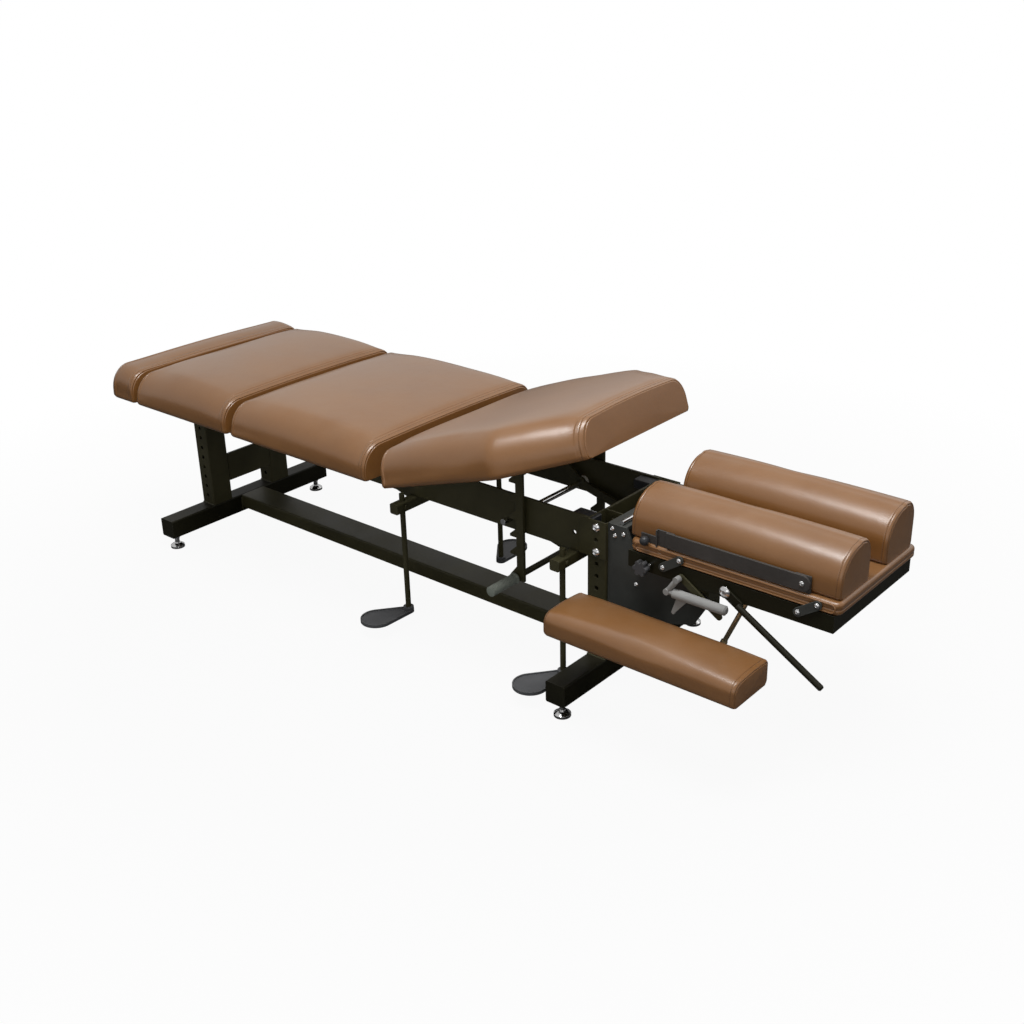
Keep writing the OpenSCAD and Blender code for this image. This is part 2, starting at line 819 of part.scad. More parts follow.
function rectangle(x0, x1, y0, y1) = [[x0, y0], [x1, y0], [x1, y1], [x0, y1]];

// Body cushion with a recess for its plywood board
module body_cushion(x0, x1, first_round) {
  h = cushion_height - soft_gap;
  side = [cushion_side_round, cushion_side_round];
  far = [cushion_far_round, cushion_far_round];
  end = [cushion_end_round, cushion_end_round];
  first = [first_round, first_round];
  rings = concat(levels(h, cushion_side_round, side_arc_share),
    [for (s = end_arc_share) h - cushion_end_round * (1 - s)]);
  color(vinyl) difference() {
    translate([0, 0, rail_top + soft_gap])
      pad(rectangle(x0, x1, -half_cushion, half_cushion), [side, end, far, first], h, rings,
        cushion_corner, long_crown);
    board_block(x0, x1, soft_gap);
  }
}

// Plywood board of a body cushion, or the recess round it
module board_block(x0, x1, gap) {
  y = half_cushion - board_inset + gap;
  under = gap > 0 ? over : 0;
  block(x0 + board_inset - gap, x1 - board_inset + gap, -y, y,
    rail_top - under, rail_top + board + gap);
}

// Base frame
module cross_tube(x) {
  color(steel_black) difference() {
    union() {
      tube_y(x, cross_mid, tube, tube, -half_cross, half_cross);
      both_sides() block(x - half_tube + wall, x + half_tube - wall,
        -half_cross, -half_cross + wall, floor_gap + wall, cross_top - wall);
    }
    both_sides() translate([x, -foot_place, floor_gap - over])
      cylinder(h = wall + over * 2, d = foot_stem + fit);
  }
}

module foot_cross_tube() {
  cross_tube(0);
}

module head_cross_tube() {
  cross_tube(head_cross);
}

module spine_tube() {
  color(steel_black)
    tube_x(0, cross_top - spine_height / 2, spine_width, spine_height,
      half_tube, head_cross - half_tube);
}

module uprights(x) {
  color(steel_black) both_sides() difference() {
    translate([x, -upright_mid, cross_top]) linear_extrude(height = upright_top - cross_top)
      tube_section(tube, upright_width);
    for (i = [0:hole_count - 1])
      rod_y(x, hole_first + hole_pitch * i, -upright_outer - over, -upright_inner + over,
        hole_size);
  }
}

module foot_uprights() {
  uprights(0);
}

module head_uprights() {
  uprights(head_cross);
}

module splice_plate(x0, x1, x) {
  difference() {
    block(x0, x1, -splice_outer, -upright_outer, rail_bottom, rail_top);
    for (z = [low_bolt, high_bolt])
      rod_y(x, z, -splice_outer - over, -upright_outer + over, bolt_shank);
    rod_y(x, open_hole, -splice_outer - over, -upright_outer + over, hole_size);
  }
}

module frame_plates() {
  head_face = head_cross - half_tube;
  tie_top = tie_bottom + tie_height;
  color(steel_black) {
    block(half_tube - plate, half_tube, -upright_inner, upright_inner, tie_bottom, tie_top);
    block(head_face, head_face + plate, -upright_inner, upright_inner, tie_bottom, tie_top);
    block(head_face, head_face + plate, -upright_inner, upright_inner,
      rail_bottom, upright_top);
    both_sides() {
      splice_plate(-half_tube - splice_reach, half_tube + splice_reach, 0);
      splice_plate(head_face - splice_reach, head_cross + half_tube, head_cross);
    }
  }
}

module levelling_foot(x, y) {
  hex_bottom = floor_gap - soft_gap - foot_hex_height;
  color(chrome) translate([x, y, 0]) {
    cylinder(h = foot_rim, d = foot_disc);
    translate([0, 0, foot_rim]) cylinder(h = foot_cone, d1 = foot_disc, d2 = foot_hex);
    translate([0, 0, hex_bottom]) cylinder(h = foot_hex_height, d = foot_hex, $fn = 6);
    cylinder(h = floor_gap + foot_stem_inside, d = foot_stem);
  }
}

module levelling_foot_a() {
  levelling_foot(0, -foot_place);
}

module levelling_foot_b() {
  levelling_foot(0, foot_place);
}

module levelling_foot_c() {
  levelling_foot(head_cross, -foot_place);
}

module levelling_foot_d() {
  levelling_foot(head_cross, foot_place);
}

// Top frame
module rail() {
  head_face = head_cross - half_tube;
  holes = [
    [tilt_x, tilt_z, pin],
    [rod_x, rod_z, shaft],
    [pelvic_axle_x, rod_z, shaft],
    [pelvic_hinge_x, pelvic_hinge_z, pin],
    [head_face - rail_hole_reach, open_hole, hole_size]
  ];
  color(steel_black) difference() {
    union() {
      block(half_tube, head_face, -upright_outer, -rail_inner, rail_bottom, rail_top);
      block(rail_start, -half_tube, -upright_outer, -rail_inner, rail_bottom, rail_top);
    }
    for (h = holes) rod_y(h[0], h[1], -upright_outer - over, -rail_inner + over, h[2]);
    plate_xz(-upright_outer - over, -rail_inner + over) difference() {
      translate([tilt_x - relief_reach, rail_top - relief_depth])
        square([relief_reach, relief_depth + over]);
      translate([tilt_x, tilt_z]) circle(r = rail_top - tilt_z - pass_gap);
    }
  }
}

module near_rail() {
  rail();
}

module far_rail() {
  far_side() rail();
}

module rail_cross_bars() {
  color(steel_black) for (x = [foot_pad_bar_x, leg_bar_x, pelvic_rail_bar_x])
    tube_y(x, rail_top - cross_bar_drop - cross_bar / 2, cross_bar, cross_bar,
      -rail_inner, rail_inner);
}

module frame_bolts() {
  nut_face = -upright_outer + wall;
  color(chrome) both_sides() for (x = [0, head_cross], z = [low_bolt, high_bolt]) {
    rod_y(x, z, -splice_outer, nut_face + bolt_head_height, bolt_shank);
    button(x, z, -splice_outer, bolt_head, bolt_head_height);
    rod_y(x, z, nut_face, nut_face + bolt_head_height, bolt_head);
  }
}

// Hinge rod and axle of the pelvic section, the long cross rod and the two thoracic hinge pins
module cross_rods() {
  pin_face = -strap_outer - soft_gap;
  color(chrome) {
    rod_y(pelvic_hinge_x, pelvic_hinge_z, -upright_outer, upright_outer, pin);
    rod_y(pelvic_axle_x, rod_z, -upright_outer, upright_outer, shaft);
    rod_y(rod_x, rod_z, -rod_reach, rod_reach, shaft);
    both_sides() {
      difference() {
        rod_y(rod_x, rod_z, -rail_inner, -rail_inner + plate, shaft * 2);
        rod_y(rod_x, rod_z, -rail_inner - over, -rail_inner + plate + over, shaft + fit);
      }
      rod_y(tilt_x, tilt_z, pin_face, -rail_inner + plate, pin);
      rod_y(tilt_x, tilt_z, -rail_inner, -rail_inner + plate, pin * 2);
      button(tilt_x, tilt_z, pin_face, bolt_head, bolt_head_height);
    }
  }
}

// Fixed and pelvic cushions
module fixed_boards() {
  color(ply) {
    board_block(foot_pad_start, foot_pad_start + foot_pad_length, 0);
    board_block(leg_start, leg_start + leg_length, 0);
  }
}

module foot_pad_cushion() {
  body_cushion(foot_pad_start, foot_pad_start + foot_pad_length, foot_pad_round);
}

module leg_cushion() {
  body_cushion(leg_start, leg_start + leg_length, cushion_foot_round);
}

module pelvic_cushion() {
  body_cushion(pelvic_start, pelvic_start + pelvic_length, cushion_foot_round);
}

module pelvic_board() {
  color(ply) board_block(pelvic_start, pelvic_start + pelvic_length, 0);
}

module pelvic_hinge_lugs() {
  y1 = -upright_inner;
  y0 = y1 - plate;
  color(steel_black) both_sides() difference() {
    union() {
      block(pelvic_hinge_x - pin, pelvic_hinge_x + pin, y0, y1, pelvic_hinge_z, rail_top);
      block(pelvic_hinge_x, pelvic_hinge_x + tube, y0, y1, rail_top - plate, rail_top);
      rod_y(pelvic_hinge_x, pelvic_hinge_z, y0, y1, pin * 2);
    }
    rod_y(pelvic_hinge_x, pelvic_hinge_z, y0 - over, y1 + over, pin + fit);
  }
}

// Thoracic section, drawn flat and then tilted
module tilted() {
  translate([tilt_x, 0, tilt_z]) rotate([0, -tilt_angle, 0])
    translate([-tilt_x, 0, -tilt_z]) children();
}

module thoracic_straps() {
  end = tilt_x + prop_arm;
  color(steel_black) tilted() both_sides() difference() {
    union() {
      plate_xz(-strap_outer, -strap_inner) bar_2d(tilt_x, tilt_z, end, tilt_z, strap_depth);
      block(tilt_x, end, -strap_outer, -strap_inner, tilt_z, rail_top);
      block(tilt_x + strap_reach, end - strap_reach, -strap_outer - strap_reach,
        -strap_inner, rail_top - splice, rail_top);
    }
    rod_y(tilt_x, tilt_z, -strap_outer - over, -strap_inner + over, pin + fit);
    rod_y(end, tilt_z, -strap_outer - over, -strap_inner + over, pin);
  }
}

module thoracic_board_shape(gap) {
  under = gap > 0 ? over : 0;
  ins = [for (v = thoracic_corners) board_inset - gap];
  translate([0, 0, rail_top - under]) linear_extrude(height = board + gap + under)
    polygon([for (i = [0:len(ins) - 1]) moved_corner(thoracic_corners, ins, i)]);
}

module thoracic_board() {
  color(ply) tilted() thoracic_board_shape(0);
}

module thoracic_cushion() {
  h = cushion_height - soft_gap;
  side = [cushion_side_round * thoracic_side_share, cushion_side_round];
  end = [cushion_end_round, cushion_end_round];
  first = [cushion_foot_round, cushion_foot_round];
  rings = concat(levels(h, cushion_side_round, side_arc_share),
    [for (s = end_arc_share) h - cushion_end_round * (1 - s)]);
  color(vinyl) tilted() difference() {
    translate([0, 0, rail_top + soft_gap])
      pad(thoracic_corners, [side, side, end, side, side, first], h, rings, cushion_corner,
        long_crown);
    thoracic_board_shape(soft_gap);
  }
}

module prop_pins() {
  color(chrome) both_sides() {
    rod_y(prop_x, prop_z, -prop_outer - soft_gap, -strap_inner, pin);
    button(prop_x, prop_z, -prop_outer - soft_gap, bolt_head, bolt_head_height);
  }
}

// Notched prop bars joined by their lower rod
prop_teeth = [
  for (i = [0:prop_notches - 1])
    let (t = -prop_first - prop_pitch * i)
    [[-prop_recess, t + tooth_root], [-prop_tip, t + tooth_tip], [-prop_tip, t],
      [-prop_recess, t]]
];
prop_outline = concat(
  [[prop_back, -prop_length], [prop_back, 0], [-prop_recess, 0]],
  [for (q = prop_teeth) for (v = q) v],
  [[-prop_recess, -prop_length + prop_foot + tooth_root],
    [-prop_tip, -prop_length + prop_foot], [-prop_tip, -prop_length]]
);

module prop_frame() {
  color(steel_black) {
    both_sides() difference() {
      plate_xz(-prop_outer, -prop_inner) translate([prop_x, prop_z]) {
        polygon(prop_outline);
        circle(r = prop_back);
      }
      rod_y(prop_x, prop_z, -prop_outer - over, -prop_inner + over, pin + fit);
    }
    rod_y(prop_rod_x, prop_rod_z, -prop_rod_reach, prop_rod_reach, shaft);
  }
}

module prop_grips() {
  end = -prop_rod_reach + grip_length;
  color(rubber) both_sides() difference() {
    union() {
      rod_y(prop_rod_x, prop_rod_z, -prop_rod_reach - wall, end, grip_size);
      rod_y(prop_rod_x, prop_rod_z, end - wall, end, grip_size + wall);
    }
    rod_y(prop_rod_x, prop_rod_z, -prop_rod_reach, end + over, shaft);
  }
}

// Foot pedals: a frame that turns on its axle, two rods and two pedals on them
module pedal_frame(bar_x, axle_x, tail_z) {
  z = pedal_bar_z;
  half_bar = pedal_bar / 2;
  color(steel_black) {
    difference() {
      union() {
        tube_y(bar_x, z, pedal_bar, pedal_bar, -pedal_bar_reach, pedal_bar_reach);
        both_sides() block(bar_x - half_bar + wall, bar_x + half_bar - wall,
          -pedal_bar_reach, -pedal_bar_reach + wall, z - half_bar + wall, z + half_bar - wall);
      }
      both_sides() translate([bar_x, -pedal_rod_y, z - pedal_bar])
        cylinder(h = pedal_bar * 2, d = pedal_rod);
    }
    both_sides() plate_xz(-pedal_arm_y - plate, -pedal_arm_y) difference() {
      union() {
        translate([axle_x, rod_z]) circle(d = pedal_boss);
        strip_2d(axle_x, rod_z, bar_x - half_bar - wall * 2, z, pedal_arm_depth);
        translate([bar_x - pedal_bar, z - pedal_arm_depth / 2])
          square([half_bar + wall / 2, pedal_arm_depth]);
        strip_2d(axle_x, rod_z, axle_x - tail_reach, tail_z, pedal_arm_depth);
        translate([axle_x - tail_reach, tail_z]) circle(r = roller);
      }
      translate([axle_x, rod_z]) circle(d = shaft + fit);
    }
  }
}

module pedal_rods(bar_x) {
  bottom = pedal_z + pedal_thick;
  color(steel_black) both_sides() {
    translate([bar_x, -pedal_rod_y, bottom])
      cylinder(h = pedal_rod_top - bottom, d = pedal_rod);
    translate([bar_x + pedal_bar / 2, -pedal_rod_y, pedal_bar_z]) rotate([0, 90, 0])
      cylinder(h = screw_head_height, d = screw_head);
  }
}

module teardrop(small, big) {
  a = acos((small - big) / pedal_reach);
  circle(r = small);
  translate([pedal_reach, 0]) circle(r = big);
  polygon([
    [small * cos(a), small * sin(a)],
    [small * cos(a), -small * sin(a)],
    [pedal_reach + big * cos(a), -big * sin(a)],
    [pedal_reach + big * cos(a), big * sin(a)]
  ]);
}

// Pedal plate with a raised rim and a boss round its rod
module pedals(bar_x) {
  color(pedal_grey) both_sides()
    translate([bar_x, -pedal_rod_y, pedal_z]) rotate([0, 0, -90 - pedal_turn]) difference() {
      union() {
        linear_extrude(height = pedal_thick) teardrop(pedal_narrow, pedal_broad);
        linear_extrude(height = pedal_thick + splice) difference() {
          teardrop(pedal_narrow, pedal_broad);
          teardrop(pedal_narrow - splice, pedal_broad - splice);
        }
        cylinder(h = pedal_thick * 3, r = pedal_narrow - soft_gap);
      }
      translate([0, 0, pedal_thick]) cylinder(h = pedal_thick * 3, d = pedal_rod);
    }
}

module pelvic_pedal_frame() {
  pedal_frame(pelvic_bar_x, pelvic_axle_x, roller_z);
}

module pelvic_pedal_rods() {
  pedal_rods(pelvic_bar_x);
}

module pelvic_pedals() {
  pedals(pelvic_bar_x);
}

module thoracic_pedal_frame() {
  pedal_frame(thoracic_bar_x, rod_x, roller_z - roller_sink);
}

module thoracic_pedal_rods() {
  pedal_rods(thoracic_bar_x);
}

module thoracic_pedals() {
  pedals(thoracic_bar_x);
}

// Brackets that carry the head section on the head uprights
module head_brackets() {
  color(steel_black) {
    both_sides() difference() {
      plate_xz(-bracket_outer, -bracket_y) polygon(bracket_outline);
      rod_y(head_x, head_z, -bracket_outer - over, -bracket_y + over, shaft);
      for (s = bracket_screws)
        rod_y(s[0], s[1], -bracket_outer - over, -bracket_y + over, screw_shank);
    }
    block(bracket_start, bracket_start + bracket_top, -bracket_y, bracket_y,
      rail_top - plate, rail_top);
    block(bracket_start, bracket_start + plate, -bracket_y, bracket_y,
      rail_bottom, rail_top - plate);
  }
}

// Head hinge with its spacers, the bracket screws and the rod across the brackets
module head_hinge_shaft() {
  end = head_half - wall;
  x = bracket_start + bracket_top - pin * 3 / 2;
  color(chrome) {
    rod_y(head_x, head_z, -end, end, shaft);
    rod_y(x, rail_top + pin / 2, -bracket_y, bracket_y, pin);
    both_sides() {
      rod_y(head_x, head_z, -head_inner + soft_gap, -bracket_outer, shaft + wall * 2);
      for (s = bracket_screws) {
        rod_y(s[0], s[1], -bracket_outer, -bracket_y + plate, screw_shank);
        button(s[0], s[1], -bracket_outer, screw_head, screw_head_height);
      }
    }
  }
}

// Head section
module head_frame() {
  in = head_inner;
  lip = in - frame_lip;
  color(steel_black) difference() {
    union() {
      both_sides() {
        block(head_start, head_end, -head_half, -in, head_bottom, head_top);
        block(head_start, head_end - plate, -in, -lip, head_bottom, head_bottom + splice);
      }
      block(head_end - plate, head_end, -in, in, head_bottom, head_top);
      block(head_end - plate - frame_lip, head_end - plate, -lip, lip,
        head_bottom, head_bottom + splice);
      block(release_x, release_x + cross_bar, -lip, lip, head_bottom, head_bottom + plate);
    }
    both_sides() {
      rod_y(head_x, head_z, -head_half + wall - soft_gap, -in + over, shaft + fit);
      for (x = [link_x, front_link_x])
        rod_y(x, link_z, -head_half - over, -in + over, link_pin);
    }
    rod_y(release_x, head_z, -head_half - over, -in + over, pin);
    rod_y(grip_x, head_z, -head_half - over, -in + over, lever_rod + fit);
    rod_y(star_x, star_z, -head_half - over, -in + over, lever_rod + fit);
    rod_y(strut_x, strut_z, -head_half + wall, -in + over, pin);
    translate([strut_x, -strut_y, head_bottom]) cube([tube, strut_slot, tube], center = true);
  }
}

module head_frame_screws() {
  release_face = -head_half - link_thick - soft_gap * 2;
  color(chrome) {
    both_sides() for (x = [link_x, front_link_x]) {
      rod_y(x, link_z, -link_outer - soft_gap, -head_inner, link_pin);
      button(x, link_z, -link_outer - soft_gap, screw_head, screw_head_height);
    }
    rod_y(strut_x, strut_z, -head_half + wall, -strut_y + strut_slot / 2, pin);
    rod_y(release_x, head_z, release_face, -head_inner, pin);
    button(release_x, head_z, release_face, bolt_head + plate, bolt_head_height);
    rod_y(star_x + bolt_head, link_z, -head_half - screw_head, -head_half, screw_shank);
  }
}

module drop_links(x) {
  top_x = x + link_run;
  top_z = link_z + link_rise;
  color(steel_black) both_sides() plate_xz(-link_outer, -link_inner) difference() {
    bar_2d(x, link_z, top_x, top_z, link_width);
    translate([x, link_z]) circle(d = link_pin + fit);
    translate([top_x, top_z]) circle(d = link_pin + fit);
  }
}

module rear_drop_links() {
  drop_links(link_x);
}

module front_drop_links() {
  drop_links(front_link_x);
}

// Covered board: the space that its rounded outlines from above, from the side and from the
// end have in common
module head_board_panel() {
  long = object_end - panel_start;
  wide = head_half * 2;
  mid = [panel_start + long / 2, 0, board_rest + head_board / 2];
  color(vinyl) difference() {
    translate(mid) intersection() {
      linear_extrude(height = head_board, center = true) rounded(long, wide, cushion_corner);
      rotate([90, 0, 0]) linear_extrude(height = wide, center = true)
        rounded(long, head_board, head_board_round);
      rotate([90, 0, 90]) linear_extrude(height = long, center = true)
        rounded(wide, head_board, head_board_round);
    }
    both_sides() for (x = [link_x, front_link_x])
      rod_y(x + link_run, link_z + link_rise, -head_half - over, -head_half + half_tube,
        link_pin);
  }
}

module head_board_screws() {
  z = link_z + link_rise;
  color(chrome) both_sides() {
    for (x = [link_x + link_run, front_link_x + link_run]) {
      rod_y(x, z, -link_outer - soft_gap, -head_half + half_tube, link_pin);
      button(x, z, -link_outer - soft_gap, screw_head, screw_head_height);
    }
    rod_y(bar_pivot_x, bar_pivot_z, -head_half - soft_gap, -tab_inner, link_pin);
    button(bar_pivot_x, bar_pivot_z, -head_half - soft_gap, screw_head, screw_head_height);
  }
}

// Both head cushions turn their broad rounding to the near side
module face_cushion(h) {
  broad = [face_broad_run, face_broad_rise];
  steep = [face_steep_run, face_steep_rise];
  end = [cushion_end_round, cushion_end_round];
  color(vinyl) translate([0, 0, face_z + soft_gap])
    pad(rectangle(face_start, face_start + face_length, -face_outer, -face_inner),
      [broad, end, steep, end], h, levels(h, face_broad_rise, face_arc_share),
      cushion_end_round,
      small_long_crown);
}

module near_head_cushion() {
  face_cushion(face_height);
}

module far_head_cushion() {
  translate([0, face_inner + face_outer, 0]) face_cushion(far_face_height);
}

// Tabs behind the side bars, at their hinges and at their catches
module side_bar_tabs() {
  r = side_bar_height / 2;
  catch_start = side_bar_start - catch_reach;
  color(steel_black) both_sides() {
    difference() {
      block(bar_pivot_x - r, bar_pivot_x + r, -tab_outer, -tab_inner, face_z, side_bar_top);
      rod_y(bar_pivot_x, bar_pivot_z, -head_half, -tab_inner + over, link_pin);
    }
    block(catch_start, side_bar_start + r, -tab_outer, -tab_inner, face_z, side_bar_top);
    block(catch_start, catch_start + splice, -head_half, -tab_outer, face_z, side_bar_top);
    difference() {
      block(knob_x - r, catch_start, -tab_outer, -tab_inner, face_z, knob_z + round_knob / 2);
      rod_y(knob_x, knob_z, -head_half, -tab_inner + over, screw_shank + fit);
    }
  }
}

module side_bar() {
  r = side_bar_height / 2;
  color(steel_black) difference() {
    plate_xz(-head_half, -side_bar_inner) {
      translate([bar_pivot_x, bar_pivot_z]) circle(r = r);
      translate([side_bar_start, side_bar_z]) square([side_bar_length - r, side_bar_height]);
    }
    rod_y(bar_pivot_x, bar_pivot_z, -head_half - over, -side_bar_inner + over,
      link_pin + fit);
  }
}

module near_side_bar() {
  side_bar();
}

module far_side_bar() {
  far_side() side_bar();
}

module catch_knob() {
  face = -tab_outer - soft_gap;
  color(rubber) {
    rod_y(knob_x, knob_z, face - knob_stand - round_knob / 2, -tab_inner, screw_shank);
    translate([knob_x, face - knob_stand - round_knob / 2, knob_z]) sphere(d = round_knob);
  }
}

module near_catch_knob() {
  catch_knob();
}

module far_catch_knob() {
  far_side() catch_knob();
}

// Bent grip lever with its horn and latch bar
module grip_lever() {
  latch_face = -head_half - pass_gap;
  bend = norm([grip_run, grip_drop]);
  knuckle = lever_rod * knuckle_share;
  horn_x = grip_x - horn_run;
  color(steel_black) {
    rod_y(grip_x, head_z, lever_y + knuckle / 2, -head_inner, lever_rod);
    rod_y(grip_x, head_z, lever_y - knuckle / 2, lever_y + knuckle / 2, knuckle);
    rod_y(grip_start, grip_z, lever_y - knuckle / 2, lever_y + knuckle / 2, knuckle);
    translate([grip_x, lever_y, head_z]) rotate([0, 180 + atan2(grip_run, grip_drop), 0])
      cylinder(h = bend, d = lever_rod);
    translate([grip_start, lever_y, grip_z]) rotate([0, 90, 0])
      cylinder(h = sleeve_length, d = lever_rod);
    plate_xz(latch_face - link_thick, latch_face)
      bar_2d(grip_x, head_z, grip_x + latch_reach, head_z - latch_drop, latch_width);
    plate_xz(lever_y - link_thick / 2, lever_y + link_thick / 2) {
      translate([horn_x, head_z - horn_drop]) circle(r = horn_tip);
      polygon([
        [horn_x - horn_tip, head_z - horn_drop],
        [horn_x + horn_tip, head_z - horn_drop],
        [grip_x + horn_width, grip_z - sleeve_size / 2],
        [grip_x + horn_width, grip_z],
        [grip_x, grip_z],
        [grip_x, grip_z - sleeve_size / 2]
      ]);
    }
  }
}

module grip_sleeve() {
  start = lever_rod + wall;
  end = sleeve_length - start;
  slot = link_thick + fit;
  color(rubber) translate([grip_start + start, lever_y, grip_z]) difference() {
    rotate([0, 90, 0]) {
      cylinder(h = end + wall, d = sleeve_size);
      translate([0, 0, end + wall]) cylinder(h = wall, d1 = sleeve_size, d2 = lever_rod);
    }
    rotate([0, 90, 0]) translate([0, 0, -over])
      cylinder(h = end + over + running_gap, d = lever_rod + fit);
    block(0, horn_width * 2, -slot / 2, slot / 2, -sleeve_size, 0);
  }
}

module release_lever() {
  face = -head_half - soft_gap;
  root_x = release_x + release_root * cos(release_slope);
  root_z = head_z - release_root * sin(release_slope);
  color(steel_black) {
    difference() {
      plate_xz(face - link_thick, face)
        bar_2d(release_x, head_z, root_x, root_z, bolt_head);
      rod_y(release_x, head_z, face - link_thick - over, face + over, pin + fit);
    }
    translate([root_x, face - release_rod / 2, root_z]) rotate([0, 90 + release_slope, 0]) {
      cylinder(h = release_length, d = release_rod);
      translate([0, 0, release_length])
        cylinder(h = wall, d1 = release_rod, d2 = release_rod * hub_share);
    }
  }
}

module star_knob() {
  face = -head_half - soft_gap;
  out = face - star_size / 2;
  reach = star_size * (1 - lobe_share) / 2;
  color(rubber) {
    rod_y(star_x, star_z, out, -head_inner, lever_rod);
    rod_y(star_x, star_z, out, face, star_size * hub_share);
    for (i = [0:star_lobes - 1])
      let (a = i * 360 / star_lobes)
      rod_y(star_x + reach * cos(a), star_z + reach * sin(a), out, face - wall,
        star_size * lobe_share);
  }
}

module lock_strut() {
  color(chrome) translate([strut_x, -strut_y, strut_z]) rotate([0, 180 + strut_lean, 0])
    difference() {
      union() {
        cylinder(h = strut_length, d = strut_size);
        rotate([90, 0, 0])
          cylinder(h = strut_size + wall, d = strut_size * 2, center = true);
        translate([0, 0, strut_length * nut_share])
          cylinder(h = strut_size, d = nut_size, $fn = 6);
      }
      rotate([90, 0, 0]) cylinder(h = strut_size * 2, d = pin + fit, center = true);
    }
}

// Side arms with the armrest sockets and the guide lug of the strut
module side_arm(end) {
  tube_x(-arm_mid, arm_bottom + arm_size / 2, arm_size, arm_size, bracket_start, end);
  block(end - wall, end, -upright_outer + wall, -upright_outer + arm_size - wall,
    arm_bottom + wall, arm_top - wall);
}

module side_arms() {
  step_z = arm_top - half_tube;
  color(steel_black) {
    side_arm(arm_end);
    far_side() side_arm(far_arm_end);
    both_sides() {
      block(post_x - half_tube, post_x + half_tube, -post_y + socket_half, -upright_outer,
        step_z, step_z + plate);
      difference() {
        block(post_x - socket_half, post_x + socket_half, -clamp_y, -post_y + socket_half,
          socket_top - socket_height, socket_top);
        translate([post_x, -post_y, clamp_z])
          cube([post + fit, post + fit, socket_height + over], center = true);
        rod_y(post_x, clamp_z, -clamp_y - over, -post_y, lever_rod + fit);
      }
    }
    difference() {
      block(lug_x - half_tube, lug_x + half_tube, -strut_y - strut_slot * 3 / 4,
        -upright_outer, lug_z, lug_z + lug_thick);
      translate([lug_x, -strut_y, lug_z])
        cube([lug_slot * 2, nut_size + pass_gap, tube], center = true);
    }
  }
}

module clamp_knob() {
  stand = post;
  color(rubber) {
    rod_y(post_x, clamp_z, -clamp_y - stand, -post_y - post / 2 - soft_gap, lever_rod);
    rod_y(post_x, clamp_z, -clamp_y - stand - pin, -clamp_y - stand, star_size);
  }
}

module near_clamp_knob() {
  clamp_knob();
}

module far_clamp_knob() {
  far_side() clamp_knob();
}

module armrest_post() {
  top = armrest_z - plate;
  reach = armrest_plate_reach;
  inner = -armrest_inner - pass_gap;
  outer = -armrest_inner - armrest_width + armrest_plate_inset;
  neck = -post_y + socket_half;
  color(steel_black) {
    block(post_x - post / 2, post_x + post / 2, -post_y - post / 2, -post_y + post / 2,
      top - post_length, top);
    translate([post_x, 0, top]) linear_extrude(height = plate) polygon([
      [-reach, outer], [reach, outer], [reach, inner], [half_tube, inner],
      [half_tube, neck], [-half_tube, neck], [-half_tube, inner], [-reach, inner]
    ]);
  }
}

module armrest_pad() {
  side = [armrest_round, armrest_round];
  inner = [armrest_inner_round, armrest_inner_round];
  end = [cushion_end_round, cushion_end_round];
  color(vinyl) translate([0, 0, armrest_z + soft_gap])
    pad(rectangle(armrest_start, armrest_start + armrest_length,
        -armrest_inner - armrest_width, -armrest_inner),
      [side, end, inner, side], armrest_height,
      levels(armrest_height, armrest_round, arc_share), armrest_corner, small_long_crown);
}

module near_armrest_post() {
  armrest_post();
}

module far_armrest_post() {
  far_side() armrest_post();
}

module near_armrest_pad() {
  armrest_pad();
}

module far_armrest_pad() {
  far_side() armrest_pad();
}

place() foot_cross_tube();
place() head_cross_tube();
place() spine_tube();
place() foot_uprights();
place() head_uprights();
place() frame_plates();
place() levelling_foot_a();
place() levelling_foot_b();
place() levelling_foot_c();
place() levelling_foot_d();
place() near_rail();
place() far_rail();
place() rail_cross_bars();
place() frame_bolts();
place() cross_rods();
place() fixed_boards();
place() foot_pad_cushion();
place() leg_cushion();
place() pelvic_board();
place() pelvic_hinge_lugs();
place() pelvic_cushion();
place() thoracic_straps();
place() thoracic_board();
place() thoracic_cushion();
place() prop_pins();
place() prop_frame();
place() prop_grips();
place() pelvic_pedal_frame();
place() pelvic_pedal_rods();
place() pelvic_pedals();
place() thoracic_pedal_frame();
place() thoracic_pedal_rods();
place() thoracic_pedals();
place() head_brackets();
place() head_hinge_shaft();
place() head_frame();
place() head_frame_screws();
place() rear_drop_links();
place() front_drop_links();
place() head_board_panel();
place() head_board_screws();
place() near_head_cushion();
place() far_head_cushion();
place() side_bar_tabs();
place() near_side_bar();
place() far_side_bar();
place() near_catch_knob();
place() far_catch_knob();
place() grip_lever();
place() grip_sleeve();
place() release_lever();
place() star_knob();
place() lock_strut();
place() side_arms();
place() near_clamp_knob();
place() far_clamp_knob();
place() near_armrest_post();
place() far_armrest_post();
place() near_armrest_pad();
place() far_armrest_pad();
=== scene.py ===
"""Sectional chiropractic table: upholstery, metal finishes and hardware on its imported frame."""

import json
import math

import bmesh
import bpy
import numpy as np
from mathutils import Matrix, Vector


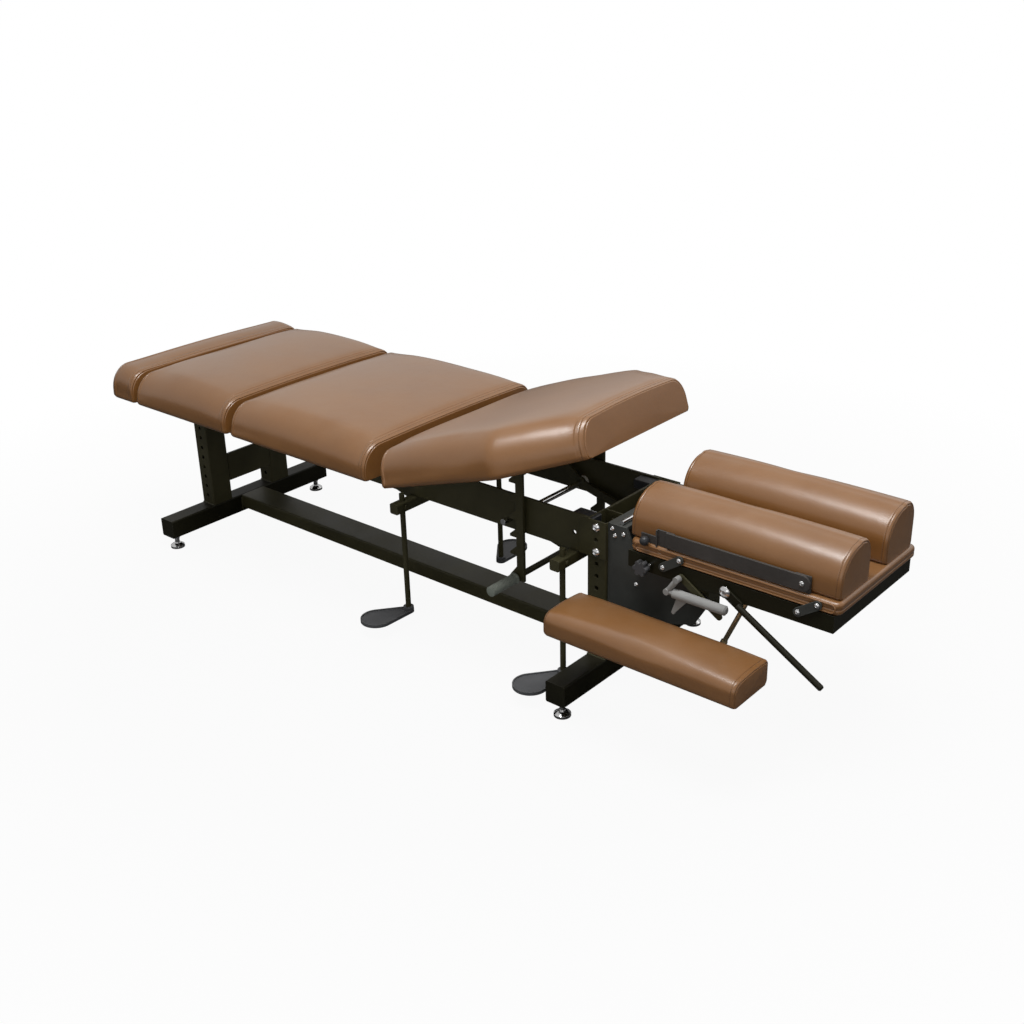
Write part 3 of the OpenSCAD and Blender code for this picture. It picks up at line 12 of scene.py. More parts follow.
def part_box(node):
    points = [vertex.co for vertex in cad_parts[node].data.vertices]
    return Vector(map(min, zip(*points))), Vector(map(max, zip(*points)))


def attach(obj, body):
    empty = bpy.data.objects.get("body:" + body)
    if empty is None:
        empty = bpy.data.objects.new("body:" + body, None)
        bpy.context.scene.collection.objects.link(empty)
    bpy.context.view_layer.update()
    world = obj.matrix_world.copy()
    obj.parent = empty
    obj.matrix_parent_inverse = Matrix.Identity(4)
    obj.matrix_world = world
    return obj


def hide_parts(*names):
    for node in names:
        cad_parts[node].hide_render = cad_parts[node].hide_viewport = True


bl_info = {
    "name": "Chiropractic table finisher",
    "version": (1, 0, 0),
    "blender": (4, 5, 0),
    "location": "View3D > Sidebar > Table",
    "description": "Upholsters the table's cushions and finishes its metal, knobs and levers",
    "category": "Object",
}

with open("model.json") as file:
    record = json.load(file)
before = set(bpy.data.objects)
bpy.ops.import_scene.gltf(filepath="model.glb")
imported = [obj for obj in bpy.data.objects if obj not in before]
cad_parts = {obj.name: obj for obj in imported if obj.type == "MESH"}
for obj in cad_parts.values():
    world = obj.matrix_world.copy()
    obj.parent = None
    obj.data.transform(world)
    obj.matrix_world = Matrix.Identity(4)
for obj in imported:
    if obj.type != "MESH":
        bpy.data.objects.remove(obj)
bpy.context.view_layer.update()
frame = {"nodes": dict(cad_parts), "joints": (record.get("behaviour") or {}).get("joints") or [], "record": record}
BODY_OF = {n: b for b, names in frame["record"]["behaviour"]["bodies"].items() for n in names}
SLOT_OF = {part["node"]: part["material_slot"] for part in frame["record"]["subparts"]}

MM = 0.001
OBJECT_MID = 0.879
QUARTER = math.pi / 2


def scaled(colour, share):
    """A colour that is lighter or darker by a share."""
    return tuple(c * share for c in colour)


def along(mm):
    """Turns a place along the table, measured from the foot cross tube, into the shared frame."""
    return mm * MM - OBJECT_MID


# Sizes and colours that a user would change

def colour_value(name, value, text):
    return bpy.props.FloatVectorProperty(name=name, description=text, subtype="COLOR", size=3,
                                         min=0, max=1, default=value)


def length_value(name, value, low, high, text):
    return bpy.props.FloatProperty(name=name, description=text, default=value, min=low, max=high,
                                   subtype="DISTANCE", unit="LENGTH")


def angle_value(name, degrees, text):
    return bpy.props.FloatProperty(name=name, description=text, default=math.radians(degrees),
                                   subtype="ANGLE", unit="ROTATION")


def strength_value(name, value, text):
    return bpy.props.FloatProperty(name=name, description=text, default=value, min=0)


class TableUpholstery(bpy.types.PropertyGroup):
    vinyl_colour: colour_value("Vinyl", (0.205, 0.089, 0.025), "Colour of the tan vinyl")
    vinyl_shade: colour_value("Vinyl shade", (0.170, 0.071, 0.018),
                              "Darker tone that clouds the vinyl")
    thread_colour: colour_value("Thread", (0.10, 0.045, 0.018), "Colour of the seam thread")
    end_round: length_value("End rounding", 0.007, 0.004, 0.02,
                            "Radius where a top panel turns down to its end panel")
    crown: length_value("Crown", 0.004, 0, 0.02, "Rise of a cushion's middle across its width")
    long_crown: length_value("Lengthwise crown", 0.011, 0, 0.02,
                             "Rise of a body cushion's middle along its length")
    small_long_crown: length_value("Small lengthwise crown", 0.005, 0, 0.02,
                                   "Rise of a head cushion's or armrest's middle")
    seam_depth: length_value("Seam depth", 0.0013, 0, 0.004, "Depth of the groove along a seam")
    seam_reach: length_value("Seam reach", 0.0011, 0.0005, 0.004, "Half width of that groove")
    stitch_offset: length_value("Top stitch offset", 0.0105, 0.003, 0.02,
                                "Distance of the top stitching from its seam")
    stitch_pitch: length_value("Stitch pitch", 0.0046, 0.002, 0.01,
                               "Distance from one stitch to the next")
    stitch_length: length_value("Stitch length", 0.0034, 0.001, 0.008, "Length of one stitch")
    thread_size: length_value("Thread size", 0.00045, 0.0002, 0.001, "Radius of the seam thread")
    swell: length_value("Swell", 0.006, 0, 0.02,
                        "Most that a cushion swells under its cloth pressure")
    pressure: strength_value("Pressure", 4, "Cloth pressure inside a cushion")
    frames: bpy.props.IntProperty(
        name="Frames", description="Frames that the cloth settles over", default=16, min=1, max=60)


class TableMetal(bpy.types.PropertyGroup):
    steel_colour: colour_value("Frame steel", (0.0400, 0.0365, 0.0160),
                               "Colour of the black powder coat")
    edge_colour: colour_value("Rubbed edge", (0.040, 0.038, 0.030),
                              "Colour of the coat where edges are rubbed")
    bracket_colour: colour_value("Bracket steel", (0.041, 0.043, 0.040),
                                 "Colour of the dark grey brackets")
    lever_colour: colour_value("Lever grey", (0.225, 0.225, 0.22),
                               "Colour of the light grey lever and its sleeve")
    weld_size: length_value("Weld size", 0.0028, 0.001, 0.008, "Radius of a weld bead")
    ribs: bpy.props.IntProperty(
        name="Grip ribs", description="Ribs on each rubber grip", default=14, min=0, max=40)


class TableStage(bpy.types.PropertyGroup):
    floor_colour: colour_value("Floor", (0.30, 0.30, 0.30), "Colour of the pale floor")
    lens: bpy.props.FloatProperty(
        name="Lens", description="Focal length of the camera in millimetres", default=44.79,
        min=10, max=200)
    camera_place: bpy.props.FloatVectorProperty(
        name="Camera place", description="Where the camera stands", subtype="TRANSLATION",
        unit="LENGTH", size=3, default=(1.9207, -2.0678, 1.5215))
    camera_turn: angle_value("Camera turn", 40.87, "Turn of the camera to the left of +Y")
    camera_dip: angle_value("Camera dip", 24.24, "Angle at which the camera looks down")
    camera_roll: angle_value("Camera roll", -1.40, "Roll of the camera about its view line")
    key_strength: strength_value("Key lamp", 92, "Power of the lamp over the table in watts")
    fill_strength: strength_value("Fill lamp", 9, "Power of the lamp beside the camera in watts")
    rim_strength: strength_value("Rim lamp", 10, "Power of the lamp past the far side in watts")
    sky_strength: strength_value("Sky", 0.62, "Strength of the soft light from above")


# Meshes

def add_object(name, verts, faces, body, material):
    mesh = bpy.data.meshes.new(name)
    mesh.from_pydata([tuple(map(float, v)) for v in verts], [], faces)
    piece = bpy.data.objects.new(name, mesh)
    bpy.context.scene.collection.objects.link(piece)
    shape = bmesh.new()
    shape.from_mesh(mesh)
    bmesh.ops.recalc_face_normals(shape, faces=shape.faces)
    shape.to_mesh(mesh)
    shape.free()
    mesh.polygons.foreach_set("use_smooth", [True] * len(mesh.polygons))
    mesh.materials.append(material)
    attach(piece, body)
    return piece


def sharpen(piece, degrees=35):
    """Keeps the edges of a hard piece crisp while its round faces stay smooth."""
    shape = bmesh.new()
    shape.from_mesh(piece.data)
    limit = math.radians(degrees)
    for edge in shape.edges:
        if len(edge.link_faces) == 2:
            edge.smooth = edge.calc_face_angle(0) < limit
    shape.to_mesh(piece.data)
    shape.free()
    return piece


def grid_faces(rows, cols, first=0):
    """Quads over rows that each close on themselves."""
    return [
        (first + r * cols + c, first + r * cols + (c + 1) % cols,
         first + (r + 1) * cols + (c + 1) % cols, first + (r + 1) * cols + c)
        for r in range(rows - 1) for c in range(cols)
    ]


def basis(direction):
    """Two unit vectors square to a direction."""
    d = Vector(direction).normalized()
    side = d.orthogonal().normalized()
    return d, side, d.cross(side)


def circle(centre, u, v, radius, sides):
    """Points round a circle in the plane of two unit vectors."""
    return [centre + (u * math.cos(a) + v * math.sin(a)) * radius
            for a in (math.tau * k / sides for k in range(sides))]


def rounded_ring(reach_x, reach_y, radius, z, corner_steps=8, side_steps=(12, 24)):
    """Points round a rectangle with round corners, at one height."""
    (x0, x1), (y0, y1) = reach_x, reach_y
    corners = []
    for cx, cy, start in ((x1 - radius, y0 + radius, -90), (x1 - radius, y1 - radius, 0),
                          (x0 + radius, y1 - radius, 90), (x0 + radius, y0 + radius, 180)):
        turns = [math.radians(start + 90 * j / corner_steps) for j in range(corner_steps + 1)]
        corners.append([(cx + radius * math.cos(a), cy + radius * math.sin(a), z) for a in turns])
    ring = []
    for k, corner in enumerate(corners):
        ring.extend(corner)
        a, b = Vector(corner[-1]), Vector(corners[(k + 1) % 4][0])
        count = side_steps[k % 2]
        ring.extend(a.lerp(b, j / count)[:] for j in range(1, count))
    return ring


class Parts:
    """Collects many small closed forms into one mesh."""

    def __init__(self):
        self.verts, self.faces = [], []

    def rings(self, rings):
        """Closed tube through rings of equal length, with a flat end at either side."""
        first, count = len(self.verts), len(rings[0])
        for ring in rings:
            self.verts.extend(ring)
        self.faces.extend(grid_faces(len(rings), count, first))
        self.faces.append(tuple(range(first, first + count))[::-1])
        last = first + (len(rings) - 1) * count
        self.faces.append(tuple(range(last, last + count)))

    def turned(self, start, direction, profile, sides=24):
        """A turned form: profile holds pairs of a distance along the axis and a radius."""
        d, u, v = basis(direction)
        self.rings([circle(Vector(start) + d * t, u, v, r, sides) for t, r in profile])

    def hoop(self, rings):
        """Rings of equal length that follow each other round and meet again."""
        first, count = len(self.verts), len(rings[0])
        for ring in rings:
            self.verts.extend(ring)
        self.faces.extend(grid_faces(len(rings), count, first))
        last = first + (len(rings) - 1) * count
        self.faces += [(last + c, last + (c + 1) % count, first + (c + 1) % count, first + c)
                       for c in range(count)]

    def make(self, name, body, material, slot):
        piece = sharpen(add_object(name, self.verts, self.faces, body, material))
        return piece


BEAD_STEP, BEAD_DIP, BEAD_TIP = 0.9, 0.78, 0.45


def weld_bead(parts, start, end, size):
    """A rippled bead along a straight run."""
    a, b = Vector(start), Vector(end)
    d, u, v = basis(b - a)
    length = (b - a).length
    count = max(4, round(length / (size * BEAD_STEP)))
    rings = []
    for k in range(count + 1):
        r = size * (1.0 if k % 2 else BEAD_DIP) * (BEAD_TIP if k in (0, count) else 1)
        rings.append(circle(a + d * (length * k / count), u, v, r, 8))
    parts.rings(rings)


# Cushions, lofted from cross sections along the table

DRAWN_IN = 5 * MM
DRAWN_HEIGHT = 9 * MM
BOARD = 12.3 * MM
BOARD_INSET = 13.7 * MM
LOW_STEPS = (0, 0.35, 0.7)
WALL_STEPS = 4
ARC_STEPS = 12
CAP_SHARES = (0.985, 0.95, 0.88, 0.76, 0.6, 0.4, 0.2)
END_STEPS = 8
ROW_STEP, FINE_ROW_STEP = 0.009, 0.008
RECESS_GAP = 1e-4
NEAR_END = 24 * MM
NEAR_STEPS = 8
SEAM_ROW = 2
SMOOTHING = 14
CLOTH = {"quality": 5, "mass": 0.4, "tension_stiffness": 25, "compression_stiffness": 25,
         "shear_stiffness": 10, "bending_stiffness": 6}
FINE_ROWS = 6
RIDGE_RISE, RIDGE_PLACE, RIDGE_SPREAD = 0.42, 2.4, 2.2
STITCH_GROOVE_DEPTH, STITCH_GROOVE_REACH = 0.5, 1.1
STITCH_FORM = ((0, 0.35, -0.4), (0.2, 0.9, 0.45), (0.5, 1, 0.6), (0.8, 0.9, 0.45), (1, 0.35, -0.4))


def cross_section(half, height, inset, rounds, crown, recess, tops):
    """One loop of a cushion: (y, z) points from the near lower edge over the top and back."""
    top = height - inset
    sides = []
    for reach, (run, rise) in zip(half, rounds):
        edge = reach - inset
        rise = min(rise, top - DRAWN_HEIGHT * 1.5)
        side = [(edge - DRAWN_IN * (1 - t) ** 2, DRAWN_HEIGHT * t) for t in LOW_STEPS]
        wall = top - rise - DRAWN_HEIGHT
        side += [(edge, DRAWN_HEIGHT + wall * k / WALL_STEPS) for k in range(WALL_STEPS)]
        for k in range(ARC_STEPS + 1):
            a = QUARTER * k / ARC_STEPS
            side.append((edge - run * (1 - math.cos(a)), top - rise + rise * math.sin(a)))
        sides.append(side)
    near = [(-y, z) for y, z in sides[0]]
    far = sides[1][::-1]
    a, b = near[-1][0], far[0][0]
    crest = []
    for k in range(1, tops):
        t = k / tops
        crest.append((a + (b - a) * t, top + crown * (1 - (2 * t - 1) ** 2)))
    step = 0 if recess else 2 * MM
    left, right = BOARD_INSET - half[0], half[1] - BOARD_INSET
    low = [(right, 0.0)]
    low += [(y, recess) for y in np.linspace(right - step, left + step, 6)]
    low += [(left, 0.0)]
    return near + crest + far + low


def lengthwise(x, reach):
    """Share of the lengthwise crown at a place along a cushion."""
    t = (2 * x - reach[0] - reach[1]) / (reach[1] - reach[0])
    return 1 - t * t


def cushion_rows(spec):
    """The cushion's loops from one end to the other, as an array, and its count of cap rows."""
    x0, x1 = spec["reach"]
    middle = spec.get("middle", 0.0)
    tops, ends = spec["tops"], spec["ends"]

    def end(x, sign, radius):
        return [(x + sign * (radius - radius * math.sin(a)), radius * (1 - math.cos(a)), 0)
                for a in (QUARTER * k / END_STEPS for k in range(END_STEPS + 1))]

    first = end(x0, 1, ends[0]["round"])[::-1]
    last = end(x1, -1, ends[1]["round"])
    start, stop = x0 + ends[0]["round"], x1 - ends[1]["round"]
    near_end = [NEAR_END * k / NEAR_STEPS for k in range(1, NEAR_STEPS)]
    count = max(4, round((stop - start - 2 * NEAR_END) / spec.get("step", ROW_STEP)))
    places = [start + d for d in near_end]
    places += list(np.linspace(start + NEAR_END, stop - NEAR_END, count + 1))
    places += [stop - d for d in near_end[::-1]]
    low, high = x0 + BOARD_INSET, x1 - BOARD_INSET
    body = [(x, 0.0, 1 if spec.get("recess") and low < x < high else 0) for x in places]
    deep = [k for k, row in enumerate(body) if row[2]]
    if deep:
        body.insert(deep[-1] + 1, (body[deep[-1]][0] + RECESS_GAP, 0.0, 0))
        body.insert(deep[0], (body[deep[0]][0] - RECESS_GAP, 0.0, 0))
    rows = []
    for x, inset, sunk in first + body + last:
        loop = cross_section(spec["half"](x), spec["height"], inset, spec["rounds"],
                             spec["crown"], BOARD if sunk else 0.0, tops)
        stretch = 1 + spec["rise"] * lengthwise(x, spec["reach"]) / spec["height"]
        rows.append([(x, middle + y, z * stretch) for y, z in loop])
    grid = np.array(rows)
    caps = []
    for index, sign in ((0, -1), (-1, 1)):
        loop = grid[index]
        centre = loop.mean(0)
        centre[2] = (loop[:, 2].min() + loop[:, 2].max()) / 2
        rings = []
        for share in CAP_SHARES:
            ring = centre + (loop - centre) * share
            ring[:, 0] += sign * ends[index]["bulge"] * (1 - share ** 2)
            rings.append(ring)
        caps.append(np.array(rings))
    grid = np.concatenate([caps[0][::-1], grid, caps[1]])
    return grid, len(CAP_SHARES)


def cushion_mesh(grid):
    """Vertices and faces of a lofted grid with a fan at either end."""
    rows, cols = grid.shape[:2]
    verts = grid.reshape(-1, 3).tolist()
    faces = grid_faces(rows, cols)
    verts.append(grid[0].mean(0).tolist())
    verts.append(grid[-1].mean(0).tolist())
    low, high = rows * cols, rows * cols + 1
    last = (rows - 1) * cols
    faces += [(low, (c + 1) % cols, c) for c in range(cols)]
    faces += [(high, last + c, last + (c + 1) % cols) for c in range(cols)]
    return verts, faces


def settle(grid, held, sizes):
    """Lets the cover swell under cloth pressure, and returns the grid with its moves capped."""
    verts, faces = cushion_mesh(grid)
    mesh = bpy.data.meshes.new("settling")
    mesh.from_pydata(verts, [], faces)
    piece = bpy.data.objects.new("settling", mesh)
    scene = bpy.context.scene
    scene.collection.objects.link(piece)
    shape = bmesh.new()
    shape.from_mesh(mesh)
    bmesh.ops.recalc_face_normals(shape, faces=shape.faces)
    shape.to_mesh(mesh)
    shape.free()
    group = piece.vertex_groups.new(name="held")
    group.add([int(k) for k in np.flatnonzero(held.reshape(-1))], 1.0, "REPLACE")
    cloth = piece.modifiers.new("Cloth", "CLOTH")
    for setting, value in CLOTH.items():
        setattr(cloth.settings, setting, value)
    cloth.settings.vertex_group_mass = "held"
    cloth.settings.use_pressure = True
    cloth.settings.uniform_pressure_force = sizes.pressure
    cloth.settings.effector_weights.gravity = 0
    cloth.collision_settings.use_collision = False
    cloth.point_cache.frame_start = 1
    cloth.point_cache.frame_end = sizes.frames
    for number in range(1, sizes.frames + 1):
        scene.frame_set(number)
    done = piece.evaluated_get(bpy.context.evaluated_depsgraph_get())
    moved = np.array([v.co[:] for v in done.data.vertices])[:-2].reshape(grid.shape)
    bpy.data.objects.remove(piece)
    bpy.data.meshes.remove(mesh)
    scene.frame_set(1)
    step = moved - grid
    for _ in range(SMOOTHING):
        step[1:-1] = (step[:-2] + 2 * step[1:-1] + step[2:]) / 4
        step = (np.roll(step, 1, 1) + 2 * step + np.roll(step, -1, 1)) / 4
        step[held] = 0
    length = np.linalg.norm(step, axis=2, keepdims=True) + 1e-12
    capped = sizes.swell * np.tanh(length / sizes.swell)
    return grid + step / length * capped


def outward(grid):
    """Unit normals of a lofted grid."""
    across = np.roll(grid, -1, 1) - np.roll(grid, 1, 1)
    down = np.gradient(grid, axis=0)
    normal = np.cross(across, down)
    normal /= np.linalg.norm(normal, axis=2, keepdims=True) + 1e-12
    centre = grid.mean(1, keepdims=True)
    if (normal * (grid - centre)).sum() < 0:
        normal = -normal
    return normal


def refine(grid, marks):
    """Adds rows near the marked places, each a float row index, so that a groove has its form."""
    near = [r for r in range(len(grid)) if any(r - 2 < m < r + 3 for m in marks)]
    rows = []
    for r in range(len(grid) - 1):
        steps = FINE_ROWS if r in near else 1
        rows.extend(r + k / steps for k in range(steps))
    rows = np.array(rows + [len(grid) - 1.0])
    low = np.minimum(rows.astype(int), len(grid) - 2)
    t = (rows - low)[:, None, None]
    before = grid[np.maximum(low - 1, 0)]
    after = grid[np.minimum(low + 2, len(grid) - 1)]
    a, b = grid[low], grid[low + 1]
    curve = 0.5 * (2 * a + (b - before) * t + (2 * before - 5 * a + 4 * b - after) * t ** 2
                   + (3 * a - before - 3 * b + after) * t ** 3)
    close = np.isin(low, near)
    return np.where(close[:, None, None], curve, a + (b - a) * t), rows


def stitch_row(parts, path, normals, sizes):
    """Lays stitches of thread along a path on the cover."""
    run = run_of(path)
    total = run[-1]
    spot = sizes.stitch_pitch
    while spot + sizes.stitch_length < total:
        rings = []
        for share, size, lift in STITCH_FORM:
            s = spot + sizes.stitch_length * share
            at = Vector([np.interp(s, run, path[:, k]) for k in range(3)])
            out = Vector([np.interp(s, run, normals[:, k]) for k in range(3)]).normalized()
            ahead = Vector([np.interp(s + 1e-3, run, path[:, k]) for k in range(3)])
            d = (ahead - at).normalized() if (ahead - at).length else Vector((0, 1, 0))
            side = d.cross(out).normalized()
            r = sizes.thread_size
            rings.append(circle(at + out * (r * lift), side, out, r * size, 6))
        parts.rings(rings)
        spot += sizes.stitch_pitch


def run_of(path):
    """Length from the start of a path to each of its points."""
    return np.concatenate([[0], np.cumsum(np.linalg.norm(np.diff(path, axis=0), axis=1))])


def sewn_rows(grid, caps, ends, run, sizes):
    """Rows of the seams, each with the side its end panel is on, and rows of the top stitching."""
    rows = np.arange(len(grid))
    seams, stitches = [], []
    for index, finish in enumerate(ends):
        if finish.get("seam"):
            sign = 1 if index else -1
            edge = len(grid) - 1 - caps - SEAM_ROW if index else caps + SEAM_ROW
            seams.append((edge, sign))
            back = np.interp(edge, rows, run) - sign * sizes.stitch_offset
            stitches.append(np.interp(back, run, rows))
    return seams, stitches


def held_points(shape, shown, seams):
    """Points that the cloth leaves where they are: the underside, its edges and the sewn ends."""
    held = np.zeros(shape, bool)
    held[:, shown:] = True
    held[:, 0] = held[:, shown - 1] = True
    for row, sign in seams:
        held[row:] = held[row:] | (sign > 0)
        held[:row + 1] = held[:row + 1] | (sign < 0)
    return held


def grooves(run, index, seams, stitches, sizes):
    """How far each row moves out: in along its seams and top stitching, out beside a seam."""
    push = np.zeros(len(run))
    for row, sign in seams:
        d = (run - np.interp(row, index, run)) / sizes.seam_reach
        push -= sizes.seam_depth * np.exp(-d ** 2)
        push += sizes.seam_depth * RIDGE_RISE * np.exp(-(d + sign * RIDGE_PLACE) ** 2
                                                       / RIDGE_SPREAD)
    for row in stitches:
        d = (run - np.interp(row, index, run)) / (sizes.seam_reach * STITCH_GROOVE_REACH)
        push -= sizes.seam_depth * STITCH_GROOVE_DEPTH * np.exp(-d ** 2)
    return push


def make_cushion(name, spec, sizes, looks, place):
    """Builds one upholstered cushion with seams and stitches, and puts it on its node's body."""
    grid, caps = cushion_rows(spec)
    side = len(LOW_STEPS) + WALL_STEPS + ARC_STEPS + 1
    shown = 2 * side + spec["tops"] - 1
    crest = side + spec["tops"] // 2
    seams, stitches = sewn_rows(grid, caps, spec["ends"], run_of(grid[:, crest]), sizes)
    grid = settle(grid, held_points(grid.shape[:2], shown, seams), sizes)
    grid, index = refine(grid, [row for row, _ in seams] + stitches)
    normal = outward(grid)
    lift = grooves(run_of(grid[:, crest]), index, seams, stitches, sizes)[:, None, None] * normal
    lift[:, 0] = lift[:, shown - 1:] = 0
    grid = grid + lift
    grid[..., 2] = np.maximum(grid[..., 2], 0)
    verts, faces = cushion_mesh(grid)
    cover = add_object(name + "_cover", [place @ Vector(v) for v in verts], faces, BODY_OF[name],
                       looks["vinyl"])
    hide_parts(name)
    if stitches:
        threads, turn = Parts(), place.to_3x3()
        for row in stitches:
            k = int(np.argmin(abs(index - row)))
            path = np.array([(place @ Vector(p))[:] for p in grid[k, 1:shown - 1]])
            out = np.array([(turn @ Vector(p))[:] for p in normal[k, 1:shown - 1]])
            stitch_row(threads, path, out, sizes)
        threads.make(name + "_stitches", BODY_OF[name], looks["thread"], "vinyl")


def boxed_cushion(name, height, shrink, spec, sizes, looks):
    """A small cushion that fills its node's box in plan, less a little all round."""
    low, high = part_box(name)
    half = (high.y - low.y) / 2 - shrink
    make_cushion(name, {
        "reach": (low.x + shrink, high.x - shrink), "middle": (low.y + high.y) / 2,
        "half": lambda x: (half, half), "height": height - shrink, "crown": sizes.crown / 2,
        "rise": sizes.small_long_crown, "step": FINE_ROW_STEP, **spec,
    }, sizes, looks, Matrix.Translation((0, 0, low.z)))


# Node groups that several materials share

def group_tree(name, inputs, outputs):
    tree = bpy.data.node_groups.new(name, "ShaderNodeTree")
    for label, kind, value in inputs:
        socket = tree.interface.new_socket(label, in_out="INPUT", socket_type=kind)
        socket.default_value = value
    for label, kind in outputs:
        tree.interface.new_socket(label, in_out="OUTPUT", socket_type=kind)
    return tree, tree.nodes.new("NodeGroupInput"), tree.nodes.new("NodeGroupOutput")


class Wires:
    """Short words for adding and joining nodes in one tree."""

    def __init__(self, tree):
        self.tree = tree

    def add(self, kind, **values):
        node = self.tree.nodes.new(kind)
        for key, value in values.items():
            setattr(node, key, value)
        return node

    def feed(self, source, node, socket):
        if isinstance(source, (int, float, tuple)):
            node.inputs[socket].default_value = source
        else:
            self.tree.links.new(source, node.inputs[socket])

    def math(self, operation, a, b=0.0, clamp=False):
        node = self.add("ShaderNodeMath", operation=operation, use_clamp=clamp)
        self.feed(a, node, 0)
        self.feed(b, node, 1)
        return node.outputs[0]

    def ramp(self, value, low, high, out_low=0.0, out_high=1.0):
        node = self.add("ShaderNodeMapRange", clamp=True)
        self.feed(value, node, "Value")
        for socket, number in (("From Min", low), ("From Max", high), ("To Min", out_low),
                               ("To Max", out_high)):
            self.feed(number, node, socket)
        return node.outputs["Result"]

    def noise(self, where, scale, detail=3.0, rough=0.5):
        node = self.add("ShaderNodeTexNoise")
        self.feed(where, node, "Vector")
        self.feed(scale, node, "Scale")
        self.feed(detail, node, "Detail")
        self.feed(rough, node, "Roughness")
        return node.outputs["Fac"]

    def place(self):
        return self.add("ShaderNodeTexCoord").outputs["Object"]

    def bevel(self, radius):
        node = self.add("ShaderNodeBevel", samples=4)
        self.feed(radius, node, "Radius")
        return node.outputs["Normal"]

    def bump(self, height, strength, distance, under=None):
        node = self.add("ShaderNodeBump")
        for source, socket in ((height, "Height"), (strength, "Strength"), (distance, "Distance")):
            self.feed(source, node, socket)
        if under is not None:
            self.feed(under, node, "Normal")
        return node.outputs["Normal"]

    def dusted(self, rough, dust, share=0.4):
        """Roughness that rises where dust lies."""
        return self.math("ADD", rough, self.math("MULTIPLY", dust.outputs["Mask"], share))

    def mix(self, share, a, b):
        node = self.add("ShaderNodeMix", data_type="RGBA")
        self.feed(share, node, "Factor")
        for source, socket in ((a, node.inputs[6]), (b, node.inputs[7])):
            if isinstance(source, tuple):
                socket.default_value = (*source[:3], 1.0)
            else:
                self.tree.links.new(source, socket)
        return node.outputs[2]


def pebble_group():
    """Fine moulded grain: a height for bump and a painted shade that darkens its hollows."""
    tree, given, out = group_tree(
        "Pebble grain", [("Scale", "NodeSocketFloat", 700.0)],
        [("Height", "NodeSocketFloat"), ("Shade", "NodeSocketFloat")])
    w = Wires(tree)
    where = w.place()
    cells = w.add("ShaderNodeTexVoronoi", feature="F1")
    w.feed(where, cells, "Vector")
    w.feed(given.outputs["Scale"], cells, "Scale")
    fine = w.noise(where, w.math("MULTIPLY", given.outputs["Scale"], 0.31), 4.0, 0.6)
    height = w.math("ADD", w.math("MULTIPLY", cells.outputs["Distance"], 0.6),
                    w.math("MULTIPLY", fine, 0.5))
    tree.links.new(height, out.inputs["Height"])
    tree.links.new(w.ramp(height, 0.2, 0.75), out.inputs["Shade"])
    return tree


def edge_group():
    """Mask of rubbed edges, from how far a rounded normal leans away from the face's own."""
    tree, given, out = group_tree(
        "Rubbed edges",
        [("Radius", "NodeSocketFloat", 0.0015), ("Amount", "NodeSocketFloat", 1.0)],
        [("Mask", "NodeSocketFloat")])
    w = Wires(tree)
    face = w.add("ShaderNodeNewGeometry")
    dot = w.add("ShaderNodeVectorMath", operation="DOT_PRODUCT")
    w.feed(w.bevel(given.outputs["Radius"]), dot, 0)
    w.feed(face.outputs["Normal"], dot, 1)
    lean = w.ramp(dot.outputs["Value"], 0.998, 0.86)
    where = w.place()
    patch = w.ramp(w.noise(where, 46.0, 4.0, 0.6), 0.34, 0.62, 0.35, 1.0)
    mask = w.math("MULTIPLY", w.math("MULTIPLY", lean, patch), given.outputs["Amount"], True)
    tree.links.new(mask, out.inputs["Mask"])
    return tree


def dust_group():
    """Mask of the dust that lies on faces that look up."""
    tree, given, out = group_tree(
        "Settled dust", [("Amount", "NodeSocketFloat", 0.3)], [("Mask", "NodeSocketFloat")])
    w = Wires(tree)
    face = w.add("ShaderNodeNewGeometry")
    parts = w.add("ShaderNodeSeparateXYZ")
    w.feed(face.outputs["Normal"], parts, 0)
    up = w.ramp(parts.outputs["Z"], 0.35, 0.98)
    where = w.place()
    patch = w.ramp(w.noise(where, 17.0, 6.0, 0.65), 0.3, 0.75, 0.2, 1.0)
    mask = w.math("MULTIPLY", w.math("MULTIPLY", up, patch), given.outputs["Amount"], True)
    tree.links.new(mask, out.inputs["Mask"])
    return tree


def cloud_group():
    """Slow change of tone and gloss over a surface, with small scuffs in it."""
    tree, given, out = group_tree(
        "Clouding", [("Scale", "NodeSocketFloat", 6.0)],
        [("Tone", "NodeSocketFloat"), ("Scuff", "NodeSocketFloat")])
    w = Wires(tree)
    where = w.place()
    tree.links.new(w.ramp(w.noise(where, given.outputs["Scale"], 5.0, 0.55), 0.3, 0.7),
                   out.inputs["Tone"])
    stretch = w.add("ShaderNodeMapping")
    w.feed(where, stretch, "Vector")
    w.feed((1.0, 3.5, 2.0), stretch, "Scale")
    streak = w.noise(stretch.outputs[0], w.math("MULTIPLY", given.outputs["Scale"], 14.0), 5.0, 0.7)
    tree.links.new(w.ramp(streak, 0.56, 0.74), out.inputs["Scuff"])
    return tree


def start_material(name):
    material = bpy.data.materials.new(name)
    material.use_nodes = True
    w = Wires(material.node_tree)
    return material, w, material.node_tree.nodes["Principled BSDF"]


def placed(w, groups, name, **values):
    node = w.add("ShaderNodeGroup", node_tree=groups[name])
    for key, value in values.items():
        node.inputs[key].default_value = value
    return node


